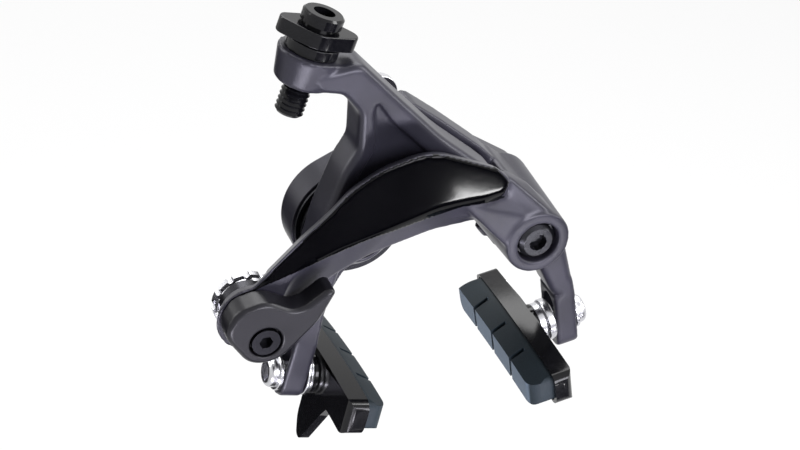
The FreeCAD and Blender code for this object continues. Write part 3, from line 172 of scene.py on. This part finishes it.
def new_material(name):
    """A fresh material: itself, its node tree and its Principled shader."""
    material = bpy.data.materials.new(name)
    material.use_nodes = True
    tree = material.node_tree
    return material, tree, tree.nodes["Principled BSDF"]


print("helpers:", add_node.__name__, calculate.__name__, new_material.__name__)

# %% [markdown]
# The white page
#
# The floor and the world are white to the camera and in reflections, but weak as a
# light. A bright lamp could bleach the background instead, and would wash out the black
# paint with it. Light Path tells the rays apart, so the page stays white, the paint
# stays dark, and the floor still takes a soft shadow.

# %% White world
WHITE = (1, 1, 1, 1)
WORLD_LEVEL = 0.10


def seen_directly(tree):
    """1 where a ray comes from the camera, a reflection or glass, else 0."""
    rays = add_node(tree, "LightPath").outputs
    either = calculate(tree, "MAXIMUM", rays["Is Camera Ray"], rays["Is Glossy Ray"])
    return calculate(tree, "MAXIMUM", either, rays["Is Transmission Ray"])


def white_world():
    world = bpy.data.worlds.new("white_world")
    world.use_nodes = True
    tree = world.node_tree
    back = tree.nodes["Background"]
    back.inputs["Color"].default_value = WHITE
    level = add_node(tree, "MapRange", {
        "To Min": WORLD_LEVEL, "To Max": 1.0, "Value": seen_directly(tree)})
    tree.links.new(level.outputs["Result"], back.inputs["Strength"])
    bpy.context.scene.world = world


white_world()
bpy.context.scene.view_settings.view_transform = "Standard"
print("world: full white to the eye, %.0f %% as a light" % (100 * WORLD_LEVEL))

# %% White floor
FLOOR_DROP_M = 0.17
FLOOR_HALF_M = 3.0
FLOOR_SHADE = (0.9, 0.9, 0.9, 1)
FLOOR_ROUGH = 0.9
FLOOR_GLOW_SHARE = 0.88


def flat_sheet(name, half_wide, half_high):
    """A rectangle in its own XY plane, centred on its origin."""
    x, y = half_wide, half_high
    mesh = bpy.data.meshes.new(name)
    mesh.from_pydata([(-x, -y, 0), (x, -y, 0), (x, y, 0), (-x, y, 0)], [], [(0, 1, 2, 3)])
    return put(name, mesh)


def white_floor(height):
    floor = flat_sheet("floor", FLOOR_HALF_M, FLOOR_HALF_M)
    floor.location.z = height
    material, tree, shader = new_material("white_floor")
    shader.inputs["Base Color"].default_value = FLOOR_SHADE
    shader.inputs["Roughness"].default_value = FLOOR_ROUGH
    share = calculate(tree, "MULTIPLY", seen_directly(tree), FLOOR_GLOW_SHARE)
    glow = add_node(tree, "Emission")
    mix = add_node(tree, "MixShader", {"Fac": share, 1: shader.outputs[0], 2: glow.outputs[0]})
    tree.links.new(mix.outputs[0], tree.nodes["Material Output"].inputs["Surface"])
    floor.data.materials.append(material)
    return floor


floor = white_floor(cad_box[0][2] - FLOOR_DROP_M)
print("floor %.0f mm below the lowest piece" % ((cad_box[0][2] - floor.location.z) / MM))

# %% [markdown]
# Black cards
#
# In an all-white room a gloss black panel turns grey. Photographers stand black cards
# where the glossy pieces would mirror the room. Three stand here, in front, below and at
# the left. Each is a plane that only reflections see: the camera, the shadows and the
# soft light pass through it.

# %% Three black cards
CARD_SHADE = (0.01, 0.01, 0.012, 1)
CARD_BLIND_TO = ("visible_camera", "visible_diffuse", "visible_shadow",
                 "visible_transmission")


def black_card(name, place, wide, high):
    card = flat_sheet(name, wide / 2, high / 2)
    card.location = Vector(place)
    aim = STUDIO_MIDDLE - card.location
    card.rotation_euler = aim.to_track_quat("Z", "Y").to_euler()
    for ray in CARD_BLIND_TO:
        setattr(card, ray, False)
    material, _, shader = new_material("black_card")
    shader.inputs["Base Color"].default_value = CARD_SHADE
    shader.inputs["Roughness"].default_value = 1.0
    shader.inputs["Specular IOR Level"].default_value = 0.0
    card.data.materials.append(material)
    print("%-16s %.0f x %.0f mm" % (name, wide / MM, high / MM))


black_card("black_card_front", (0.10, -0.26, -0.17), 0.40, 0.26)
black_card("black_card_below", (-0.005, -0.075, -0.20), 0.15, 0.14)
black_card("black_card_left", (-0.20, 0.20, -0.16), 0.30, 0.26)

# %% [markdown]
# Finishes
#
# Every finish is a node tree on the piece's own coordinates, in metres, so grain keeps
# its real size whatever the piece. One helper makes a Principled shader with a noise
# that tints the colour, moves the roughness and raises a fine bump. The numbers decide
# whether that is blasted paint, moulded rubber or plated steel.

# %% The shared recipe
CLOUDS_PER_M = 90.0
CLOUD_DETAIL, GRAIN_DETAIL = 4.0, 2.0
SPECKLE_LOW, SPECKLE_HIGH = 0.12, 0.38


def finish(name, dark, light, rough, metal=0.0, grain_mm=0.2, bump_mm=0.004,
           rough_spread=0.06, specular=0.5, stretch=(1, 1, 1)):
    """A Principled material whose colour and roughness drift between two values."""
    material, tree, shader = new_material(name)
    shader.inputs["Metallic"].default_value = metal
    shader.inputs["Specular IOR Level"].default_value = specular
    own = add_node(tree, "TexCoord").outputs["Object"]
    spot = add_node(tree, "Mapping", {"Vector": own, "Scale": stretch}).outputs[0]
    clouds = add_node(tree, "TexNoise", {
        "Vector": spot, "Scale": CLOUDS_PER_M, "Detail": CLOUD_DETAIL}).outputs["Fac"]
    grain = add_node(tree, "TexNoise", {
        "Vector": spot, "Scale": 1.0 / (grain_mm * MM), "Detail": GRAIN_DETAIL}).outputs["Fac"]
    speckle = calculate(tree, "MULTIPLY", clouds, grain)
    tint = add_node(tree, "MapRange", {
        "Value": speckle, "From Min": SPECKLE_LOW, "From Max": SPECKLE_HIGH}).outputs[0]
    colour = add_node(tree, "Mix", {
        "Factor": tint, "A": (*dark, 1), "B": (*light, 1)}, name="colour", data_type="RGBA")
    polish = add_node(tree, "MapRange", {
        "Value": speckle, "To Min": rough - rough_spread, "To Max": rough + rough_spread})
    bump = add_node(tree, "Bump", {"Height": grain, "Distance": bump_mm * MM})
    tree.links.new(colour.outputs["Result"], shader.inputs["Base Color"])
    tree.links.new(polish.outputs[0], shader.inputs["Roughness"])
    tree.links.new(bump.outputs[0], shader.inputs["Normal"])
    return material


print("clouds of colour every %.0f mm, grain as each finish says" % (1 / CLOUDS_PER_M / MM))

# %% [markdown]
# Satin anthracite paint
#
# The arms are forged and blasted before they are painted, so the coat is matte with a
# violet cast and a grain finer than a grain of salt. The lever wears the same paint, but
# its colour is set darker as painted shade, which keeps its front dark under the low
# lamps. A trace of metal in the shader stands for the flakes in the paint.

# %% Paint for the arms and the lever
arm_paint = finish(
    "satin_anthracite", dark=(0.0155, 0.0150, 0.0215), light=(0.027, 0.026, 0.038),
    rough=0.38, metal=0.25, grain_mm=0.12, bump_mm=0.006, specular=0.35)
# The lever's darker colour is painted shade, not a darker coat: it holds back the low lamps.
lever_shaded_paint = finish(
    "lever_anthracite_painted_shade", dark=(0.006, 0.0058, 0.0078), light=(0.010, 0.0096, 0.0128),
    rough=0.36, metal=0.25, grain_mm=0.10, bump_mm=0.005, specular=0.35)
print("paints:", arm_paint.name, lever_shaded_paint.name)

# %% [markdown]
# Gloss black and dull resin
#
# The panel, the shoe holders and the adjuster are glossy and nearly black, with a faint
# orange peel under the reflections. A clear coat over black could do it too, but black
# with a low specular level needs no second layer. The spring housing is a dull resin,
# rough enough to spread the lamps into one soft sheen.

# %% Gloss and resin
panel_gloss = finish(
    "panel_gloss", dark=(0.0004, 0.0004, 0.0007), light=(0.0009, 0.0009, 0.0013),
    rough=0.08, grain_mm=1.2, bump_mm=0.002, rough_spread=0.03, specular=0.12)
holder_gloss = finish(
    "holder_gloss", dark=(0.003, 0.003, 0.0035), light=(0.006, 0.006, 0.007),
    rough=0.16, grain_mm=0.8, bump_mm=0.003, rough_spread=0.05, specular=0.25)
adjuster_gloss = finish(
    "adjuster_gloss", dark=(0.002, 0.002, 0.003), light=(0.005, 0.005, 0.006),
    rough=0.18, grain_mm=0.5, bump_mm=0.003, rough_spread=0.06, specular=0.25)
resin = finish(
    "dull_resin", dark=(0.010, 0.010, 0.012), light=(0.022, 0.021, 0.026),
    rough=0.48, grain_mm=0.15, bump_mm=0.008, specular=0.4)
print("gloss:", panel_gloss.name, holder_gloss.name, adjuster_gloss.name, "and", resin.name)

# %% [markdown]
# Rubber
#
# The brake blocks are a slate blue-grey compound, dusty where they were moulded and
# paler on the braking face. That face could have a material of its own, but the CAD
# mesh comes as loose triangles. So the shader picks it out by the direction that it
# faces, which the part's record gives for both blocks.

# %% Rubber for the two blocks
BRAKING_FACE = (0.080, 0.108, 0.140, 1)
FACING_LOW, FACING_HIGH = 0.88, 0.95


def block_rubber(name, towards):
    """Rubber that is paler on the face that points the given way."""
    material = finish(
        name, dark=(0.006, 0.011, 0.015), light=(0.011, 0.018, 0.024),
        rough=0.60, grain_mm=0.25, bump_mm=0.012, specular=0.2)
    tree = material.node_tree
    own = add_node(tree, "TexCoord").outputs["Normal"]
    facing = add_node(tree, "VectorMath", {0: own, 1: towards}, operation="DOT_PRODUCT")
    mask = add_node(tree, "MapRange", {
        "Value": facing.outputs["Value"], "From Min": FACING_LOW, "From Max": FACING_HIGH})
    mix = add_node(tree, "Mix", {
        "Factor": mask.outputs[0], "A": tree.nodes["colour"].outputs["Result"],
        "B": BRAKING_FACE}, data_type="RGBA")
    base = tree.nodes["Principled BSDF"].inputs["Base Color"]
    tree.links.new(mix.outputs["Result"], base)
    return material


mount_axis = {mount["name"]: mount["axis"] for mount in record["mounts"]}
left_rubber = block_rubber("left_rubber", mount_axis["left_braking_face"])
right_rubber = block_rubber("right_rubber", mount_axis["right_braking_face"])
print("left block faces", mount_axis["left_braking_face"])
print("right block faces", mount_axis["right_braking_face"])

# %% [markdown]
# Metals
#
# Three kinds of steel show: bright plated fasteners with a soft sheen, chromed dished
# washers that mirror the studio, and dark plated bolts. Drawn spring wire has lines
# along it, so its noise is stretched. The pivot bushes are bearing bronze.

# %% Metals
bright_steel = finish(
    "bright_steel", dark=(0.48, 0.48, 0.50), light=(0.66, 0.66, 0.69),
    rough=0.30, metal=1.0, grain_mm=0.15, bump_mm=0.004, rough_spread=0.10)
chrome = finish(
    "chrome", dark=(0.70, 0.70, 0.72), light=(0.80, 0.80, 0.83),
    rough=0.12, metal=1.0, grain_mm=0.6, bump_mm=0.002, rough_spread=0.05)
dark_steel = finish(
    "dark_steel", dark=(0.015, 0.015, 0.018), light=(0.030, 0.030, 0.035),
    rough=0.30, metal=0.85, grain_mm=0.15, bump_mm=0.004, rough_spread=0.08)
spring_wire = finish(
    "spring_wire", dark=(0.30, 0.30, 0.32), light=(0.42, 0.42, 0.45),
    rough=0.30, metal=1.0, grain_mm=0.10, bump_mm=0.003, stretch=(1, 6, 1))
bearing_bronze = finish(
    "bearing_bronze", dark=(0.30, 0.20, 0.09), light=(0.42, 0.30, 0.15),
    rough=0.45, metal=1.0, grain_mm=0.12, bump_mm=0.006)
print("metals:", [m.name for m in (bright_steel, chrome, dark_steel, spring_wire, bearing_bronze)])

# %% [markdown]
# Which piece gets which finish
#
# Each CAD node says in its record what it is made of, so most pieces take their finish
# from that slot. A few look different from their slot, because they are painted or
# plated another way, and those are named one by one. The lever is named too, but its
# darker paint is painted shade, not another coat.

# %% Hand out the finishes
FINISH_OF_SLOT = {
    "dark_paint": arm_paint, "black_gloss": holder_gloss, "steel_bright": bright_steel,
    "chrome_steel": chrome, "steel_dark": dark_steel, "spring_steel": spring_wire,
    "bronze": bearing_bronze, "black_plastic": resin, "pad_rubber": left_rubber,
}
FINISH_OF_NODE = {
    # release_lever takes the anthracite paint with painted shade.
    "release_lever": lever_shaded_paint, "right_brake_pad": right_rubber,
    "adjuster_nut": adjuster_gloss, "adjuster_barrel": adjuster_gloss,
    "adjuster_ring": adjuster_gloss, "anchor_bolt": dark_steel,
    "thrust_washer": dark_steel, "spring_cover": dark_steel,
}
slot_of = {row["node"]: row["material_slot"] for row in record["subparts"]}
for name, piece in nodes.items():
    chosen = FINISH_OF_NODE.get(name, FINISH_OF_SLOT[slot_of[name]])
    for entry in piece.material_slots:
        entry.material = chosen
print("finished nodes:", len(nodes))

# %% [markdown]
# Forged forms
#
# The arms are forgings: each rib runs into its boss in one flowing surface, while the
# CAD solid is built from flat slabs and drums. Sculpting by hand would lose the sizes.
# So a voxel remesh wraps the solid in an even net, and a few rounds of smoothing let
# the slabs flow together as hot metal does in a die. The net is fine enough to keep
# every bore and slot in its place.

# %% Wrap and smooth
JOIN_WITHIN_M = 0.000002


def join_triangles(piece):
    """CAD meshes come in as loose triangles: this joins them at their corners."""
    piece.modifiers.new("join", "WELD").merge_threshold = JOIN_WITHIN_M


def ease(piece, name, rounds):
    """Smooths a piece by moving each point half way to its neighbours' middle."""
    smooth = piece.modifiers.new(name, "SMOOTH")
    smooth.factor = 0.5
    smooth.iterations = rounds


def shown(piece):
    """The piece as it looks with its modifiers."""
    bpy.context.view_layer.update()
    return piece.evaluated_get(bpy.context.evaluated_depsgraph_get())


def wrap_and_smooth(piece, net_mm, rounds):
    """Turns the piece's mesh into an even net and lets it flow for some rounds."""
    join_triangles(piece)
    wrap = piece.modifiers.new("wrap", "REMESH")
    wrap.mode = "VOXEL"
    wrap.voxel_size = net_mm * MM
    ease(piece, "flow", rounds)
    formed = bpy.data.meshes.new_from_object(shown(piece))
    piece.modifiers.clear()
    piece.data = formed
    for face in formed.polygons:
        face.use_smooth = True


print("corners closer than %.3f mm are joined" % (JOIN_WITHIN_M / MM))

# %% [markdown]
# Neck, shoulder and legs
#
# On the real front arm the plate widens into the right pivot's boss without a step, and
# each leg runs down into its slotted foot in one line. The CAD solid has a step at
# each of those places. A gusset closes it before the remesh: the hull of a few points
# and of their copies further back. The neck and the shoulder are drawn in the picture,
# where they can be seen, and end in an arc on the boss, clear of the recess for the
# bolt's head. The legs' points are measured on the solids, inside their side faces.

# %% Points of the neck and the shoulder
NECK_PX = [((466, 206), -34.8), ((472, 216), -34.4), ((490, 222), -34.2),
           ((511, 197), -33.4), ((514, 186), -31.5)]
SHOULDER_PX = [((508, 176), -31.5), ((514, 186), -31.5), ((511, 197), -33.4),
               ((528, 184), -29.0), ((541, 197), -30.0)]
RIGHT_PIVOT_MM = (21.0, -12.0)
BOSS_RIM_MM = 8.0
BOSS_FRONT_MM = -35.2
NECK_ARC, SHOULDER_ARC = (110, 185), (50, 120)
ARC_STEPS = 4


def line_of_sight(px):
    """The direction from the camera through a pixel of the picture."""
    across = (px[0] - FRAME_WIDE / 2) / FOCAL_PX
    down = (px[1] - FRAME_HIGH / 2) / FOCAL_PX
    return (CAMERA_RIGHT * across - CAMERA_UP * down - CAMERA_BACK).normalized()


def at_depth(px, y_mm):
    """The point seen at a picture pixel, on the plane y = y_mm."""
    way = line_of_sight(px)
    return CAMERA_PLACE + way * ((y_mm * MM - CAMERA_PLACE.y) / way.y)


def boss_arc(first, last):
    """Points on the boss's front rim between two directions in degrees."""
    turns = [math.radians(first + (last - first) * k / ARC_STEPS) for k in range(ARC_STEPS + 1)]
    return [Vector((RIGHT_PIVOT_MM[0] + BOSS_RIM_MM * math.cos(turn), BOSS_FRONT_MM,
                    RIGHT_PIVOT_MM[1] + BOSS_RIM_MM * math.sin(turn))) * MM for turn in turns]


neck = [at_depth(px, depth) for px, depth in NECK_PX] + boss_arc(*NECK_ARC)
shoulder = [at_depth(px, depth) for px, depth in SHOULDER_PX] + boss_arc(*SHOULDER_ARC)
print("points of the neck and the shoulder:", len(neck), len(shoulder))

# %% Points of the two legs
RIGHT_LEG_MM = [(34.5, -28.5, -35.9), (38.3, -28.5, -35.6), (37.9, -28.5, -34.0),
                (37.3, -28.5, -32.0), (36.7, -28.5, -30.0), (34.5, -28.5, -30.0)]
LEFT_LEG_MM = [(-38.0, -29.2, -37.2), (-32.3, -29.2, -38.0), (-37.5, -28.9, -35.0),
               (-31.9, -28.9, -35.5), (-36.8, -28.2, -30.5), (-30.9, -28.2, -30.5)]
right_leg = [Vector(p) * MM for p in RIGHT_LEG_MM]
left_leg = [Vector(p) * MM for p in LEFT_LEG_MM]
print("points of the right and the left leg:", len(right_leg), len(left_leg))

# %% The gussets and how deep they go
NECK_REAR_MM = -28.8
SHOULDER_REAR_MM = -27.0
LEG_REAR_MM = -18.6
GUSSETS = {
    "adjuster_arm": [(left_leg, LEG_REAR_MM)],
    "anchor_arm": [(neck, NECK_REAR_MM), (shoulder, SHOULDER_REAR_MM),
                   (right_leg, LEG_REAR_MM)],
}


def add_gusset(mesh, front, rear_y_mm):
    """Fills a hollow with the hull of some front points and their copies further back."""
    work = bmesh.new()
    work.from_mesh(mesh)
    corners = [work.verts.new(p) for p in front]
    corners += [work.verts.new((p[0], rear_y_mm * MM, p[2])) for p in front]
    bmesh.ops.convex_hull(work, input=corners)
    work.to_mesh(mesh)
    work.free()


print("gussets:", {arm: len(held) for arm, held in GUSSETS.items()})

# %% [markdown]
# Forging the arms and the lever
#
# The net's size decides how sharp an edge can be, and the rounds decide how soft it
# gets. The arms take a net of four tenths of a millimetre. The lever is smaller and its
# thumb tab is thin, so its net is finer and it is smoothed less. Each form stands for
# its CAD node, keeps that node's slot and rides on the same moving body.

# %% Forge the two arms and the lever
ARM_NET_MM, ARM_ROUNDS = 0.42, 16
LEVER_NET_MM, LEVER_ROUNDS = 0.25, 12
body_of_node = {node: body for body, held in record["behaviour"]["bodies"].items()
                for node in held}


def forged(name, net_mm, rounds, material):
    """A smooth copy of a CAD node, which it stands for."""
    source = nodes[name]
    mesh = source.data.copy()
    mesh.transform(source.matrix_world)
    mesh.materials.clear()
    mesh.materials.append(material)
    for front, rear_y_mm in GUSSETS.get(name, []):
        add_gusset(mesh, front, rear_y_mm)
    piece = put(name + "_form", mesh)
    wrap_and_smooth(piece, net_mm, rounds)
    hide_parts(name)
    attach(piece, body_of_node[name])
    print(piece.name, len(piece.data.polygons), "faces")
    return piece


forged("adjuster_arm", ARM_NET_MM, ARM_ROUNDS, arm_paint)
front_arm = forged("anchor_arm", ARM_NET_MM, ARM_ROUNDS, arm_paint)
forged("release_lever", LEVER_NET_MM, LEVER_ROUNDS, lever_shaded_paint)

# %% [markdown]
# Softened corners
#
# A turned or moulded corner is never razor sharp: it catches a thin line of light. The
# other nodes keep their CAD mesh and get a narrow Bevel modifier. The mesh comes in as
# loose triangles, so Weld joins them first and a flat Decimate turns each flat side
# into one face, on which the bevel runs cleanly.

# %% Bevel the CAD nodes
CORNER_MM = {
    "bridge_plate": 0.3, "spring_housing": 0.3, "spring_cover": 0.2, "adjuster_nut": 0.35,
    "adjuster_ring": 0.2, "left_brake_pad": 0.3, "right_brake_pad": 0.3,
    "left_pad_holder": 0.5, "right_pad_holder": 0.5,
    "seat_washer": 0.2, "fork_nut": 0.2, "mounting_bolt": 0.15, "thrust_washer": 0.15,
}
FLAT_WITHIN_DEG = 0.5
CORNER_FROM_DEG = 38
CORNER_SEGMENTS = 2


def soften(piece, width_mm):
    join_triangles(piece)
    flat = piece.modifiers.new("flat_sides", "DECIMATE")
    flat.decimate_type = "DISSOLVE"
    flat.angle_limit = math.radians(FLAT_WITHIN_DEG)
    bevel = piece.modifiers.new("corners", "BEVEL")
    bevel.width = width_mm * MM
    bevel.segments = CORNER_SEGMENTS
    bevel.limit_method = "ANGLE"
    bevel.angle_limit = math.radians(CORNER_FROM_DEG)
    bevel.miter_outer = "MITER_ARC"
    piece.modifiers.new("even_light", "WEIGHTED_NORMAL").keep_sharp = False


for name, width in CORNER_MM.items():
    soften(nodes[name], width)
print("softened:", len(CORNER_MM))

# %% [markdown]
# The gloss panel of the front plate
#
# The front arm's upper field is lacquered gloss black and the rest is matte. It could
# be a mask in the paint, but a thin skin of its own gets a crisp lacquer edge. Its
# outline is drawn in the picture as a loop of points with a smooth curve through them.

# %% Outline of the panel, in picture pixels
PANEL_LOWER_PX = [
    (238, 297), (262, 287), (281, 279), (300, 270.5), (318, 262), (343, 250.5),
    (368, 239.4), (400, 228), (424, 219), (444, 212), (461, 206.5), (477, 204),
    (494, 200.5), (505, 196)]
PANEL_UPPER_PX = [
    (511, 188), (503, 175), (490, 165), (472, 158), (450, 153), (425, 151), (402, 154),
    (382, 167), (362, 181), (337, 195), (319, 218), (302, 229), (285, 240), (264, 254),
    (243, 271)]
CURVE_STEPS = 4


def smooth_loop(points):
    """Catmull-Rom curve through a closed loop of points."""
    loop = []
    for i in range(len(points)):
        before, here, there, after = (
            Vector(points[(i + k) % len(points)]) for k in (-1, 0, 1, 2))
        for step in range(CURVE_STEPS):
            t = step / CURVE_STEPS
            loop.append(0.5 * ((2 * here) + (there - before) * t
                               + (2 * before - 5 * here + 4 * there - after) * t * t
                               + (3 * here - before - 3 * there + after) * t ** 3))
    return loop


panel_outline = smooth_loop(PANEL_LOWER_PX + PANEL_UPPER_PX)
print("panel outline:", len(panel_outline), "points")

# %% [markdown]
# Laying the skin
#
# The outline is filled and cut into a fine grid, and each point of the grid is sent
# along its line of sight onto the forged arm. The skin lies about a third of a
# millimetre proud, so that the net of the arm never shows through. Near the release
# lever, which sweeps close in front, it thins to an eighth, and a ramp joins the two
# without a step. Points that miss the plate and stray long faces are dropped.

# %% A flat grid in the outline
GRID_PX = 1.5


def cut_grid(outline):
    """The outline as one face, cut along both axes into cells of GRID_PX."""
    grid = bmesh.new()
    grid.faces.new([grid.verts.new((p[0], p[1], 0)) for p in outline])
    for axis in (0, 1):
        values = [p[axis] for p in PANEL_LOWER_PX + PANEL_UPPER_PX]
        line = min(values) + GRID_PX
        while line < max(values):
            point, normal = Vector((0, 0, 0)), Vector((0, 0, 0))
            point[axis], normal[axis] = line, 1
            everything = grid.verts[:] + grid.edges[:] + grid.faces[:]
            bmesh.ops.bisect_plane(grid, geom=everything, plane_co=point, plane_no=normal)
            line += GRID_PX
    return grid


panel_grid = cut_grid(panel_outline)
print("panel grid:", len(panel_grid.verts), "points,", len(panel_grid.faces), "faces")

# %% How proud the skin lies
SKIN_MM = 0.32
SKIN_UNDER_LEVER_MM = 0.12
LEVER_PIVOT_MM = (-51.8, -21.8)
LEVER_REACH_MM = 23.0
SKIN_RAMP_MM = 12.0


def skin_height(spot):
    """How proud the skin lies: less where the lever sweeps close in front of it."""
    reach = math.hypot(spot.x / MM - LEVER_PIVOT_MM[0], spot.z / MM - LEVER_PIVOT_MM[1])
    share = min(max((reach - LEVER_REACH_MM) / SKIN_RAMP_MM, 0.0), 1.0)
    return (SKIN_UNDER_LEVER_MM + share * (SKIN_MM - SKIN_UNDER_LEVER_MM)) * MM


for place in (LEVER_PIVOT_MM, RIGHT_PIVOT_MM):
    lift_mm = skin_height(Vector((place[0], 0.0, place[1])) * MM) / MM
    print("skin at x %.1f, z %.1f: %.2f mm proud" % (place[0], place[1], lift_mm))

# %% Send the grid onto the arm
PANEL_REAR_MM = -33.2
LONGEST_EDGE_MM = 1.3


def surface_of(piece):
    """The piece's surface with its modifiers, ready to be hit by rays."""
    seen = shown(piece)
    mesh = seen.to_mesh()
    corners = [piece.matrix_world @ v.co for v in mesh.vertices]
    tree = BVHTree.FromPolygons(corners, [tuple(p.vertices) for p in mesh.polygons])
    seen.to_mesh_clear()
    return tree


def lay_on(grid, carrier):
    """Moves the grid's points onto the carrier and drops what misses it."""
    surface = surface_of(carrier)
    lost = []
    for vertex in grid.verts:
        way = line_of_sight(vertex.co)
        hit, normal, _, _ = surface.ray_cast(CAMERA_PLACE, way)
        if hit is None or hit.y > PANEL_REAR_MM * MM:
            lost.append(vertex)
        else:
            lift = normal if normal.dot(way) < 0 else -normal
            vertex.co = hit + lift * skin_height(hit)
    bmesh.ops.delete(grid, geom=lost, context="VERTS")
    steep = [e for e in grid.edges if e.calc_length() > LONGEST_EDGE_MM * MM]
    bmesh.ops.delete(grid, geom=steep, context="EDGES")
    bmesh.ops.recalc_face_normals(grid, faces=grid.faces[:])
    print("points that missed the plate: %d, long edges: %d" % (len(lost), len(steep)))


lay_on(panel_grid, front_arm)

# %% Make the panel from the grid
PANEL_ROUNDS = 8
PANEL_THICK_MM = 0.3


def skin_from(grid, name, material):
    """A smooth sheet with thickness, which grows inwards from the grid."""
    mesh = bpy.data.meshes.new(name)
    grid.to_mesh(mesh)
    grid.free()
    for face in mesh.polygons:
        face.use_smooth = True
    mesh.materials.append(material)
    skin = put(name, mesh)
    ease(skin, "even", PANEL_ROUNDS)
    sides = skin.modifiers.new("sides", "SOLIDIFY")
    sides.thickness = PANEL_THICK_MM * MM
    sides.offset = -1.0
    print(name, len(mesh.polygons), "faces")
    return skin


front_panel = skin_from(panel_grid, "front_panel", panel_gloss)
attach(front_panel, "anchor_side")
